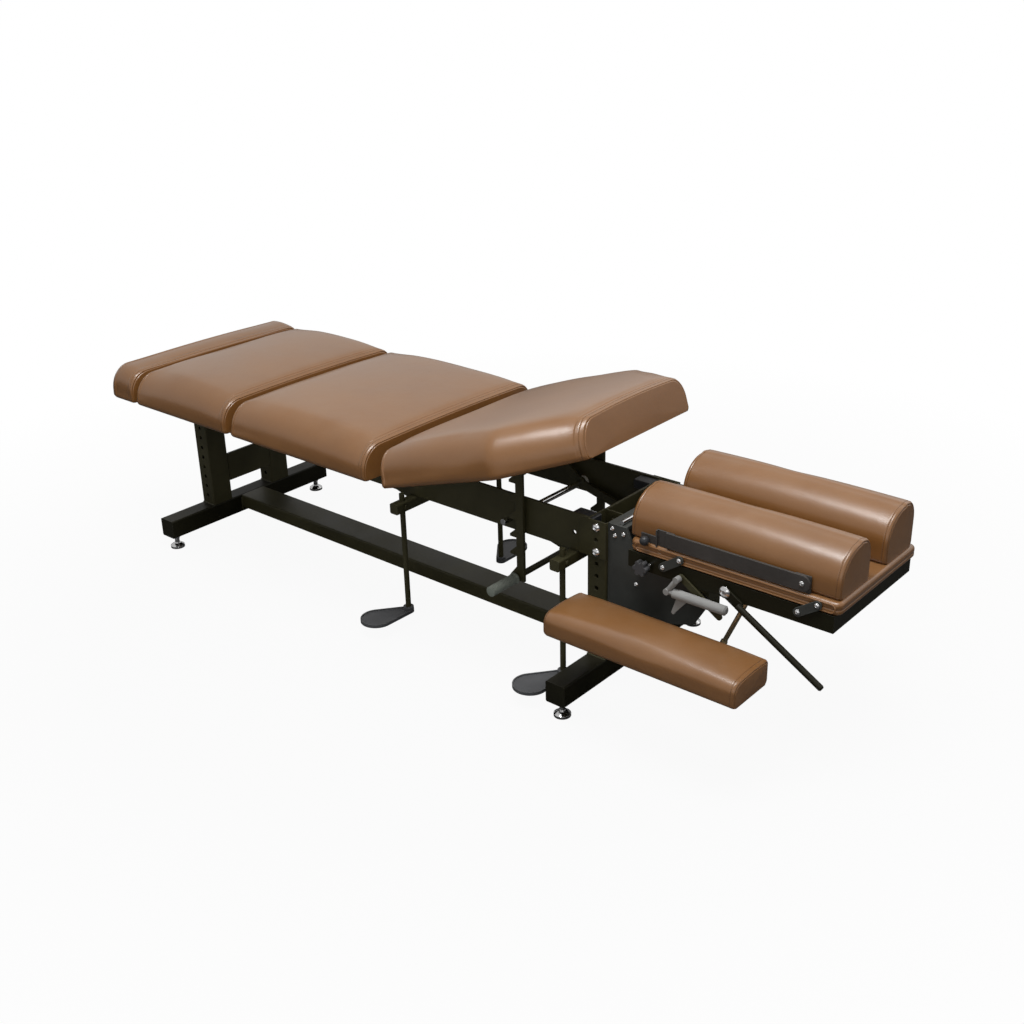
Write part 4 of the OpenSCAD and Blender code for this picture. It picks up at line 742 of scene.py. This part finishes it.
def vinyl_material(groups, upholstery):
    material, w, shader = start_material("Tan vinyl")
    cloud = placed(w, groups, "Clouding", Scale=5.0)
    grain = placed(w, groups, "Pebble grain", Scale=620.0)
    dust = placed(w, groups, "Settled dust", Amount=0.10)
    tone = w.mix(cloud.outputs["Tone"], tuple(upholstery.vinyl_shade),
                 tuple(upholstery.vinyl_colour))
    # Painted shade: the grain's hollows are darkened towards a deeper vinyl tone.
    painted_pit_shade = w.ramp(grain.outputs["Shade"], 0.0, 1.0, 0.16, 0.0)
    tone = w.mix(painted_pit_shade, tone, scaled(upholstery.vinyl_shade, 0.55))
    tone = w.mix(dust.outputs["Mask"], tone, (0.36, 0.28, 0.20))
    w.feed(tone, shader, "Base Color")
    rough = w.math("ADD", w.ramp(cloud.outputs["Tone"], 0, 1, 0.29, 0.38),
                   w.math("MULTIPLY", cloud.outputs["Scuff"], 0.05))
    w.feed(w.dusted(rough, dust, 0.5), shader, "Roughness")
    waves = w.bump(w.noise(w.place(), 24.0, 2.0, 0.5), 0.35, 0.002)
    w.feed(w.bump(grain.outputs["Height"], 0.30, 0.0004, waves), shader, "Normal")
    shader.inputs["Specular IOR Level"].default_value = 0.5
    shader.inputs["Coat Weight"].default_value = 0.6
    shader.inputs["Coat Roughness"].default_value = 0.28
    return material


def painted_material(groups, name, colour, edge, rough=0.42, grain=900.0, depth=0.22,
                     dusty=0.10, gloss_level=0.25):
    """Powder coat or paint: orange peel, rubbed edges and dust."""
    material, w, shader = start_material(name)
    cloud = placed(w, groups, "Clouding", Scale=9.0)
    peel = placed(w, groups, "Pebble grain", Scale=grain)
    edges = placed(w, groups, "Rubbed edges", Radius=0.0016, Amount=0.8)
    dust = placed(w, groups, "Settled dust", Amount=dusty)
    tone = w.mix(cloud.outputs["Tone"], scaled(colour, 0.8), scaled(colour, 1.25))
    tone = w.mix(edges.outputs["Mask"], tone, tuple(edge))
    tone = w.mix(dust.outputs["Mask"], tone, (0.13, 0.12, 0.10))
    w.feed(tone, shader, "Base Color")
    gloss = w.math("ADD", w.ramp(cloud.outputs["Tone"], 0, 1, rough - 0.05, rough + 0.06),
                   w.math("MULTIPLY", cloud.outputs["Scuff"], 0.12))
    w.feed(w.dusted(gloss, dust), shader, "Roughness")
    w.feed(w.bump(peel.outputs["Height"], depth, 0.0003, w.bevel(0.0012)), shader, "Normal")
    shader.inputs["Specular IOR Level"].default_value = gloss_level
    return material


def plated_material(groups, name, colour, rough=0.14, tarnish=(0.35, 0.34, 0.32)):
    material, w, shader = start_material(name)
    cloud = placed(w, groups, "Clouding", Scale=30.0)
    dust = placed(w, groups, "Settled dust", Amount=0.12)
    tone = w.mix(w.ramp(cloud.outputs["Tone"], 0.0, 1.0, 0.35, 0.0), colour, tarnish)
    tone = w.mix(dust.outputs["Mask"], tone, (0.3, 0.29, 0.27))
    w.feed(tone, shader, "Base Color")
    gloss = w.math("ADD", w.math("MULTIPLY", cloud.outputs["Scuff"], 0.16), rough)
    w.feed(w.dusted(gloss, dust), shader, "Roughness")
    w.feed(w.bevel(0.0008), shader, "Normal")
    shader.inputs["Metallic"].default_value = 1.0
    return material


def ply_material(groups):
    material, w, shader = start_material("Birch plywood")
    where = w.place()
    stretch = w.add("ShaderNodeMapping")
    w.feed(where, stretch, "Vector")
    w.feed((2.0, 26.0, 26.0), stretch, "Scale")
    grain = w.noise(stretch.outputs[0], 6.0, 8.0, 0.62)
    tone = w.mix(w.ramp(grain, 0.3, 0.7), (0.36, 0.25, 0.15), (0.52, 0.40, 0.26))
    cloud = placed(w, groups, "Clouding", Scale=7.0)
    tone = w.mix(w.ramp(cloud.outputs["Tone"], 0, 1, 0.0, 0.25), tone, (0.26, 0.18, 0.11))
    w.feed(tone, shader, "Base Color")
    w.feed(w.ramp(grain, 0.2, 0.8, 0.55, 0.75), shader, "Roughness")
    w.feed(w.bump(grain, 0.25, 0.0004), shader, "Normal")
    return material


def thread_material(groups, upholstery):
    material, w, shader = start_material("Seam thread")
    where = w.place()
    twist = w.noise(where, 2400.0, 2.0, 0.6)
    colour = tuple(upholstery.thread_colour)
    w.feed(w.mix(w.ramp(twist, 0.35, 0.65), scaled(colour, 0.6), colour), shader, "Base Color")
    w.feed(w.ramp(twist, 0.2, 0.8, 0.5, 0.75), shader, "Roughness")
    w.feed(w.bump(twist, 0.4, 0.0002), shader, "Normal")
    return material


def make_looks(scene):
    groups = {tree.name: tree for tree in (pebble_group(), edge_group(), dust_group(),
                                           cloud_group())}
    metal, upholstery = scene.table_metal, scene.table_upholstery
    steel, edge = tuple(metal.steel_colour), tuple(metal.edge_colour)
    bracket, lever = tuple(metal.bracket_colour), tuple(metal.lever_colour)
    return {
        "vinyl": vinyl_material(groups, upholstery),
        "thread": thread_material(groups, upholstery),
        "steel": painted_material(groups, "Black powder coat", steel, edge),
        # Painted shade: a copy of the frame's black coat at a quarter of its brightness and with less gloss, for
        # frame parts that sit in shadow.
        "deep": painted_material(groups, "Black powder coat with painted shade", scaled(steel, 0.25), edge,
                                 gloss_level=0.15),
        "bracket": painted_material(groups, "Dark grey powder coat", bracket,
                                    scaled(bracket, 2.4), rough=0.4),
        "bar": painted_material(groups, "Textured bar paint", (0.044, 0.039, 0.036),
                                (0.08, 0.08, 0.08), rough=0.5, grain=520.0, depth=0.5),
        "pedal": painted_material(groups, "Pedal paint", (0.073, 0.075, 0.080),
                                  (0.12, 0.12, 0.12), rough=0.48, grain=480.0, depth=0.4),
        "lever": painted_material(groups, "Light grey lever", lever,
                                  tuple(min(1, c * 1.5) for c in lever), rough=0.5),
        "sleeve": painted_material(groups, "Grey foam sleeve", scaled(lever, 1.05),
                                   scaled(lever, 1.2), rough=0.72, grain=420.0, depth=0.7),
        "rubber": painted_material(groups, "Grey rubber", (0.165, 0.183, 0.157),
                                   (0.15, 0.15, 0.14), rough=0.62, grain=600.0, depth=0.4),
        "nylon": painted_material(groups, "White nylon", (0.62, 0.61, 0.56), (0.7, 0.7, 0.66),
                                  rough=0.4, grain=300.0, depth=0.1, gloss_level=0.5),
        "knob": painted_material(groups, "Dark knob plastic", (0.022, 0.023, 0.026),
                                 (0.06, 0.06, 0.06), rough=0.3, grain=1100.0, depth=0.1),
        "star": painted_material(groups, "Mid grey knob plastic", (0.050, 0.050, 0.053),
                                 (0.12, 0.12, 0.12), rough=0.45),
        "chrome": plated_material(groups, "Bright plating", (0.78, 0.78, 0.79)),
        "bronze": plated_material(groups, "Bronze strut", (0.52, 0.45, 0.30), rough=0.42,
                                  tarnish=(0.26, 0.21, 0.13)),
        "ply": ply_material(groups),
    }


LOOK_OF_SLOT = {"steel_black": "steel", "chrome": "chrome", "vinyl": "vinyl", "ply": "ply",
                "rubber": "rubber", "pedal_grey": "pedal"}
LOOK_OF_NODE = {
    # The deep look paints shade onto the cross tubes, the head frame and the release lever.
    "foot_cross_tube": "deep", "head_cross_tube": "deep", "head_frame": "deep",
    "release_lever": "deep",
    "head_brackets": "bracket", "near_side_bar": "bar", "far_side_bar": "bar",
    "side_bar_tabs": "bar", "grip_sleeve": "sleeve", "star_knob": "star", "lock_strut": "bronze",
    "near_catch_knob": "knob", "far_catch_knob": "knob", "near_clamp_knob": "knob",
    "far_clamp_knob": "knob", "rear_drop_links": "bracket", "front_drop_links": "bracket",
}


# Operators

LOOKS = {}
LEVER_GREY_END = -170.5 * MM
CROSS_ROD = (along(1125), 356 * MM)
BOSS_RADIUS, BOSS_DEPTH = 14 * MM, 6.4 * MM
RAIL_INNER = 129.2 * MM


def looks_of(scene):
    if not LOOKS:
        LOOKS.update(make_looks(scene))
    return LOOKS


def on_boss(place):
    """Whether a place is on the round side or the inner face of one of the cross rod's bosses."""
    out = math.hypot(place.x - CROSS_ROD[0], place.z - CROSS_ROD[1])
    depth = RAIL_INNER - abs(place.y)
    return out < BOSS_RADIUS * 1.05 and 0 < depth <= BOSS_DEPTH \
        and (out > BOSS_RADIUS * 0.9 or depth > BOSS_DEPTH * 0.9)


def second_look(node, look, chosen):
    """Gives a second material to the faces of a node whose middles are chosen."""
    mesh = frame["nodes"][node].data
    mesh.materials.append(look)
    for polygon in mesh.polygons:
        if chosen(polygon.center):
            polygon.material_index = 1


class TABLE_OT_finish_frame(bpy.types.Operator):
    """Gives each carried-over part of the frame its paint, plating, rubber or wood"""
    bl_idname = "table.finish_frame"
    bl_label = "Finish the frame"

    def execute(self, context):
        looks = looks_of(context.scene)
        for name, piece in frame["nodes"].items():
            look = LOOK_OF_NODE.get(name) or LOOK_OF_SLOT[SLOT_OF[name]]
            piece.data.materials.clear()
            piece.data.materials.append(looks[look])
        second_look("grip_lever", looks["lever"], lambda place: place.y < LEVER_GREY_END)
        second_look("cross_rods", looks["nylon"], on_boss)
        return {"FINISHED"}


BOARD_TILT = math.radians(17.5)
CUSHION_LOW = 416.3 * MM
CUSHION_HEIGHT = 83.7 * MM
HALF_CUSHION, HALF_END = 294 * MM, 186 * MM
SEAT_GAP = 1 * MM


def tilt_matrix():
    """Turns the flat thoracic section about its hinge to where it stands."""
    joint = next(j for j in frame["joints"] if j["name"] == "thoracic_tilt")
    pivot = Vector(joint["pos_m"])
    return Matrix.Translation(pivot) @ Matrix.Rotation(-BOARD_TILT, 4, "Y") \
        @ Matrix.Translation(-pivot)


class TABLE_OT_upholster_body(bpy.types.Operator):
    """Upholsters the foot pad and the leg, pelvic and thoracic cushions"""
    bl_idname = "table.upholster_body"
    bl_label = "Upholster the body sections"

    def execute(self, context):
        sizes = context.scene.table_upholstery
        looks = looks_of(context.scene)
        shrink = 1.5 * MM
        plain = {"round": 15 * MM, "bulge": 1.5 * MM}
        sewn = {"round": sizes.end_round, "bulge": 1 * MM, "seam": True}
        lift = Matrix.Translation((0, 0, CUSHION_LOW + SEAT_GAP))
        broad, narrow = HALF_CUSHION - shrink, HALF_END - shrink
        shared = {"height": CUSHION_HEIGHT - shrink - SEAT_GAP, "crown": sizes.crown,
                  "rise": sizes.long_crown, "recess": True, "tops": 34}
        for name, first in (("foot_pad_cushion", {"round": 32 * MM, "bulge": 2 * MM}),
                            ("leg_cushion", plain), ("pelvic_cushion", plain)):
            low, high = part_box(name)
            make_cushion(name, {
                **shared, "reach": (low.x + shrink, high.x - shrink),
                "half": lambda x: (broad, broad),
                "rounds": ((57 * MM, 57 * MM), (38 * MM, 38 * MM)), "ends": (first, sewn),
            }, sizes, looks, lift)
        start, knee, end = along(880), along(1234), along(1404)

        def half_width(x):
            t = (x - knee) / (end - knee)
            bend = 0.06
            if t < -bend:
                w = broad
            elif t < bend:
                w = broad - (broad - narrow) * (t + bend) ** 2 / (4 * bend)
            else:
                w = broad - (broad - narrow) * t
            return (w, w)

        make_cushion("thoracic_cushion", {
            **shared, "reach": (start + shrink, end - shrink), "half": half_width,
            "rounds": ((45.6 * MM, 57 * MM), (38 * MM, 47 * MM)), "ends": (plain, sewn),
        }, sizes, looks, tilt_matrix() @ lift)
        return {"FINISHED"}


WELT_HEIGHT = 0.46
WELT = ((-1.8, 0), (-0.9, 0.7), (0, 1.4), (0.9, 0.7), (1.8, 0))


class TABLE_OT_upholster_head(bpy.types.Operator):
    """Upholsters the two head cushions and their covered board"""
    bl_idname = "table.upholster_head"
    bl_label = "Upholster the head section"

    def execute(self, context):
        sizes = context.scene.table_upholstery
        looks = looks_of(context.scene)
        shrink = 1.2 * MM
        broad, steep = (68 * MM, 64 * MM), (28 * MM, 40 * MM)
        sewn = {"round": sizes.end_round, "bulge": 1 * MM, "seam": True}
        for name, height in (("near_head_cushion", 93 * MM), ("far_head_cushion", 103 * MM)):
            boxed_cushion(name, height, shrink, {
                "rounds": (broad, steep), "ends": (sewn, sewn), "tops": 8}, sizes, looks)
        self.cover_board(looks)
        return {"FINISHED"}

    def cover_board(self, looks):
        low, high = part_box("head_board_panel")
        height = high.z - low.z
        edge, corner, least = 7 * MM, 14 * MM, 3 * MM
        turns = [QUARTER * k / 6 for k in range(7)]
        profile = [(edge * (1 - math.sin(a)), edge * (1 - math.cos(a))) for a in turns]
        profile += [(depth * MM, height * WELT_HEIGHT + offset * MM) for offset, depth in WELT]
        profile += [(edge * (1 - math.cos(a)), height - edge + edge * math.sin(a)) for a in turns]
        rows = [rounded_ring((low.x + i, high.x - i), (low.y + i, high.y - i),
                             max(corner - i, least), low.z + z) for i, z in profile]
        verts = [p for row in rows for p in row]
        count = len(rows[0])
        faces = grid_faces(len(rows), count)
        verts += [((low.x + high.x) / 2, 0, low.z), ((low.x + high.x) / 2, 0, high.z)]
        last = (len(rows) - 1) * count
        faces += [(len(verts) - 2, (c + 1) % count, c) for c in range(count)]
        faces += [(len(verts) - 1, last + c, last + (c + 1) % count) for c in range(count)]
        cover = add_object("head_board_cover", verts, faces, "head_top", looks["vinyl"])
        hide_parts("head_board_panel")


class TABLE_OT_upholster_armrests(bpy.types.Operator):
    """Upholsters the two armrest pads"""
    bl_idname = "table.upholster_armrests"
    bl_label = "Upholster the armrests"

    def execute(self, context):
        sizes = context.scene.table_upholstery
        looks = looks_of(context.scene)
        shrink = 1.2 * MM
        outer, inner = (22 * MM, 22 * MM), (8 * MM, 8 * MM)
        sewn = {"round": sizes.end_round, "bulge": 2 * MM, "seam": True}
        first = {"round": 12 * MM, "bulge": 1 * MM, "seam": True}
        for name, rounds in (("near_armrest_pad", (outer, inner)),
                             ("far_armrest_pad", (inner, outer))):
            boxed_cushion(name, 54 * MM, shrink, {
                "rounds": rounds, "ends": (first, sewn), "tops": 12}, sizes, looks)
        return {"FINISHED"}


class TABLE_OT_add_grips(bpy.types.Operator):
    """Makes the ribbed rubber grips on the prop bars' lower rod"""
    bl_idname = "table.add_grips"
    bl_label = "Add the ribbed grips"

    def execute(self, context):
        scene = context.scene
        looks = looks_of(scene)
        low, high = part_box("prop_grips")
        middle = (low + high) / 2
        length, radius, flange = 84 * MM, 12 * MM, (high.x - low.x) / 2
        floor = radius - 1.3 * MM
        first, plain = 5 * MM, 14 * MM
        ribs = scene.table_metal.ribs
        profile = [(0, radius * 0.7), (1 * MM, radius), (2 * MM, radius)]
        pitch = (length - plain) / ribs
        for k in range(ribs):
            at = first + pitch * k
            profile += [(at, floor), (at + pitch * 0.25, radius), (at + pitch * 0.6, radius),
                        (at + pitch * 0.85, floor)]
        profile += [(length - 7 * MM, floor), (length - 5 * MM, radius), (length - 4 * MM, flange),
                    (length - 1 * MM, flange), (length, flange - 1 * MM)]
        parts = Parts()
        for sign in (-1, 1):
            parts.turned((middle.x, sign * abs(low.y), middle.z), (0, -sign, 0), profile, 32)
        grips = parts.make("prop_grip_rubbers", BODY_OF["prop_grips"], looks["rubber"], "rubber")
        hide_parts("prop_grips")
        return {"FINISHED"}


HEAD_TUBE, TUBE_HALF, TUBE_TOP = 1360, 25.4, 88.8 * MM
UPRIGHT_FACES = (72, 135.5)
SPINE_HALF, SPINE_WELD = 41 * MM, (44 * MM, 82 * MM)


class TABLE_OT_add_welds(bpy.types.Operator):
    """Adds the weld beads where tubes and plates of the frame meet"""
    bl_idname = "table.add_welds"
    bl_label = "Add the welds"

    def execute(self, context):
        scene = context.scene
        looks = looks_of(scene)
        size = scene.table_metal.weld_size
        parts = Parts()
        for mm in (0, HEAD_TUBE):
            x0, x1 = along(mm) - TUBE_HALF * MM, along(mm) + TUBE_HALF * MM
            for y in (sign * face * MM for sign in (-1, 1) for face in UPRIGHT_FACES):
                weld_bead(parts, (x0, y, TUBE_TOP), (x1, y, TUBE_TOP), size)
        for x in (along(TUBE_HALF), along(HEAD_TUBE - TUBE_HALF)):
            for y in (-SPINE_HALF, SPINE_HALF):
                weld_bead(parts, (x, y, SPINE_WELD[0]), (x, y, SPINE_WELD[1]), size)
        parts.make("frame_welds", "base", looks["steel"], "steel_black")
        return {"FINISHED"}


class TABLE_OT_add_hardware(bpy.types.Operator):
    """Adds the threads of the levelling feet, the rests on the rails and the board's piping"""
    bl_idname = "table.add_hardware"
    bl_label = "Add the small hardware"

    def execute(self, context):
        looks = looks_of(context.scene)
        for letter in "abcd":
            node = "levelling_foot_" + letter
            low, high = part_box(node)
            middle = (low + high) / 2
            threads = Parts()
            pitch, core, crest = 1.75 * MM, 6.3 * MM, 7.1 * MM
            start, end = 24 * MM, 38 * MM
            count = int((end - start) / pitch)
            profile = [(0, core)]
            for k in range(count):
                profile += [(pitch * (k + 0.25), crest), (pitch * (k + 0.5), crest),
                            (pitch * (k + 0.75), core), (pitch * (k + 1), core)]
            threads.turned((middle.x, middle.y, start), (0, 0, 1), profile, 28)
            threads.make(node + "_thread", BODY_OF[node], looks["chrome"], "chrome")
        self.add_rests(looks)
        self.add_board_loops(looks)
        return {"FINISHED"}

    def add_rests(self, looks):
        """Rubber blocks on the rails' inner faces, which the lowered thoracic section lies on."""
        parts = Parts()
        edge, corner = 1.5 * MM, 4 * MM
        low, high = 392 * MM, 413 * MM
        foot, head = along(1288), along(1345)
        inner, outer = 96 * MM, 128.9 * MM
        for y0, y1 in ((-outer, -inner), (inner, outer)):
            parts.rings([
                rounded_ring((foot + i, head - i), (y0 + i, y1 - i), corner - i, z)
                for z, i in ((low, edge), (low + edge, 0), (high - edge, 0), (high, edge))
            ])
        parts.make("thoracic_rests", "base", looks["knob"], "rubber")

    def add_board_loops(self, looks):
        """Piping that runs round each long side of the covered head board."""
        low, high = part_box("head_board_panel")
        size, half = 1.5 * MM, 8.5 * MM
        foot_bare, head_bare = 14 * MM, 10 * MM
        middle = (low.z + high.z) / 2
        track = [(centre, math.cos(a), math.sin(a))
                 for centre, start in ((high.x - head_bare - half, -QUARTER),
                                       (low.x + foot_bare + half, QUARTER))
                 for a in (start + math.pi * k / 12 for k in range(13))]
        round_it = [(half + size * math.cos(t), size * math.sin(t))
                    for t in (math.tau * j / 10 for j in range(10))]
        parts = Parts()
        for y in (-high.y, high.y):
            parts.hoop([[(centre + c * out, y + aside, middle + s * out)
                         for out, aside in round_it] for centre, c, s in track])
        parts.make("head_board_piping", "head_top", looks["vinyl"], "vinyl")


def backdrop_material(name, colour):
    """Pale floor that keeps a soft shadow near the table and turns white further away."""
    material = bpy.data.materials.new(name)
    material.use_nodes = True
    tree = material.node_tree
    w = Wires(tree)
    shader = tree.nodes["Principled BSDF"]
    shader.inputs["Roughness"].default_value = 0.9
    glow = w.add("ShaderNodeEmission")
    path = w.add("ShaderNodeLightPath")
    w.feed(w.mix(path.outputs["Is Glossy Ray"], colour, scaled(colour, 0.2)), shader, "Base Color")
    seen = w.math("MAXIMUM", path.outputs["Is Camera Ray"], path.outputs["Is Transmission Ray"])
    distance = w.add("ShaderNodeVectorMath", operation="LENGTH")
    w.feed(w.place(), distance, 0)
    share = w.ramp(distance.outputs["Value"], 0.9, 2.2, 0.94, 1.0)
    mix = w.add("ShaderNodeMixShader")
    w.feed(w.math("MULTIPLY", seen, share), mix, 0)
    tree.links.new(shader.outputs[0], mix.inputs[1])
    tree.links.new(glow.outputs[0], mix.inputs[2])
    tree.links.new(mix.outputs[0], tree.nodes["Material Output"].inputs["Surface"])
    return material


class TABLE_OT_set_stage(bpy.types.Operator):
    """Adds the pale floor, the lamps, the even light all round and the camera"""
    bl_idname = "table.set_stage"
    bl_label = "Set the stage"

    def execute(self, context):
        scene = context.scene
        stage = scene.table_stage
        mesh = bpy.data.meshes.new("floor")
        half = 30.0
        mesh.from_pydata([(-half, -half, 0), (half, -half, 0), (half, half, 0), (-half, half, 0)],
                         [], [(0, 1, 2, 3)])
        floor = bpy.data.objects.new("floor", mesh)
        scene.collection.objects.link(floor)
        mesh.materials.append(backdrop_material("Pale floor", tuple(stage.floor_colour)))
        for name, place, target, size, power in (
                ("key_lamp", (0.70, -0.7, 3.2), (0.1, 0, 0.4), (2.2, 0.8), stage.key_strength),
                ("fill_lamp", (2.6, -3.4, 1.6), (0.2, 0, 0.3), (1.8, 1.8), stage.fill_strength),
                ("rim_lamp", (1.0, 3.0, 2.4), (0, 0, 0.4), (3.0, 1.4), stage.rim_strength)):
            lamp = bpy.data.lights.new(name, "AREA")
            lamp.shape = "RECTANGLE"
            lamp.size, lamp.size_y = size
            lamp.energy = power
            holder = bpy.data.objects.new(name, lamp)
            holder.location = place
            aim = Vector(target) - Vector(place)
            holder.rotation_euler = aim.to_track_quat("-Z", "Y").to_euler()
            scene.collection.objects.link(holder)
        self.light_sky(scene, stage)
        self.place_camera(scene, stage)
        scene.view_settings.view_transform = "Standard"
        return {"FINISHED"}

    def light_sky(self, scene, stage):
        world = bpy.data.worlds.new("even_light")
        world.use_nodes = True
        tree = world.node_tree
        w = Wires(tree)
        soft = tree.nodes["Background"]
        soft.inputs["Color"].default_value = (1, 0.99, 0.97, 1)
        parts = w.add("ShaderNodeSeparateXYZ")
        w.feed(w.add("ShaderNodeTexCoord").outputs["Generated"], parts, 0)
        rise = w.ramp(parts.outputs["Z"], -0.1, 0.9, 0.25, 1.0)
        w.feed(w.math("MULTIPLY", rise, stage.sky_strength), soft, "Strength")
        white = w.add("ShaderNodeBackground")
        white.inputs["Color"].default_value = (1, 1, 1, 1)
        path = w.add("ShaderNodeLightPath")
        seen = w.math("MAXIMUM", path.outputs["Is Camera Ray"], path.outputs["Is Transmission Ray"])
        low = w.ramp(parts.outputs["Z"], 0.15, 0.6, 0.52, 0.25)
        shine = w.math("MULTIPLY", path.outputs["Is Glossy Ray"], low)
        seen = w.math("MAXIMUM", seen, shine)
        mix = w.add("ShaderNodeMixShader")
        w.feed(seen, mix, 0)
        tree.links.new(soft.outputs[0], mix.inputs[1])
        tree.links.new(white.outputs[0], mix.inputs[2])
        tree.links.new(mix.outputs[0], tree.nodes["World Output"].inputs["Surface"])
        scene.world = world

    def place_camera(self, scene, stage):
        turn, dip, roll = stage.camera_turn, stage.camera_dip, stage.camera_roll
        ahead = Vector((-math.sin(turn) * math.cos(dip), math.cos(turn) * math.cos(dip),
                        -math.sin(dip)))
        right = Vector((math.cos(turn), math.sin(turn), 0))
        up = right.cross(ahead)
        side = right * math.cos(roll) + up * math.sin(roll)
        top = up * math.cos(roll) - right * math.sin(roll)
        data = bpy.data.cameras.new("camera")
        data.sensor_width = 36
        data.lens = stage.lens
        camera = bpy.data.objects.new("camera", data)
        scene.collection.objects.link(camera)
        camera.matrix_world = Matrix((
            (side.x, top.x, -ahead.x, stage.camera_place[0]),
            (side.y, top.y, -ahead.y, stage.camera_place[1]),
            (side.z, top.z, -ahead.z, stage.camera_place[2]),
            (0, 0, 0, 1)))
        scene.camera = camera


class TABLE_PT_finisher(bpy.types.Panel):
    """Sizes, colours and steps of the table"""
    bl_idname = "TABLE_PT_finisher"
    bl_label = "Table"
    bl_space_type = "VIEW_3D"
    bl_region_type = "UI"
    bl_category = "Table"

    def draw(self, context):
        layout = self.layout
        for step in STEPS:
            layout.operator(step.bl_idname)
        for group in (context.scene.table_upholstery, context.scene.table_metal,
                      context.scene.table_stage):
            box = layout.box()
            for name in group.__annotations__:
                box.prop(group, name)


GROUPS = (("table_upholstery", TableUpholstery), ("table_metal", TableMetal),
          ("table_stage", TableStage))
STEPS = (TABLE_OT_set_stage, TABLE_OT_finish_frame, TABLE_OT_upholster_body,
         TABLE_OT_upholster_head, TABLE_OT_upholster_armrests, TABLE_OT_add_grips,
         TABLE_OT_add_welds, TABLE_OT_add_hardware)


def register():
    for name, kind in GROUPS:
        bpy.utils.register_class(kind)
        setattr(bpy.types.Scene, name, bpy.props.PointerProperty(type=kind))
    for kind in STEPS + (TABLE_PT_finisher,):
        bpy.utils.register_class(kind)


def unregister():
    for kind in (TABLE_PT_finisher,) + STEPS[::-1]:
        bpy.utils.unregister_class(kind)
    for name, kind in GROUPS[::-1]:
        delattr(bpy.types.Scene, name)
        bpy.utils.unregister_class(kind)


def main():
    register()
    for step in STEPS:
        getattr(bpy.ops.table, step.bl_idname.split(".")[1])()


if __name__ == "__main__":
    main()
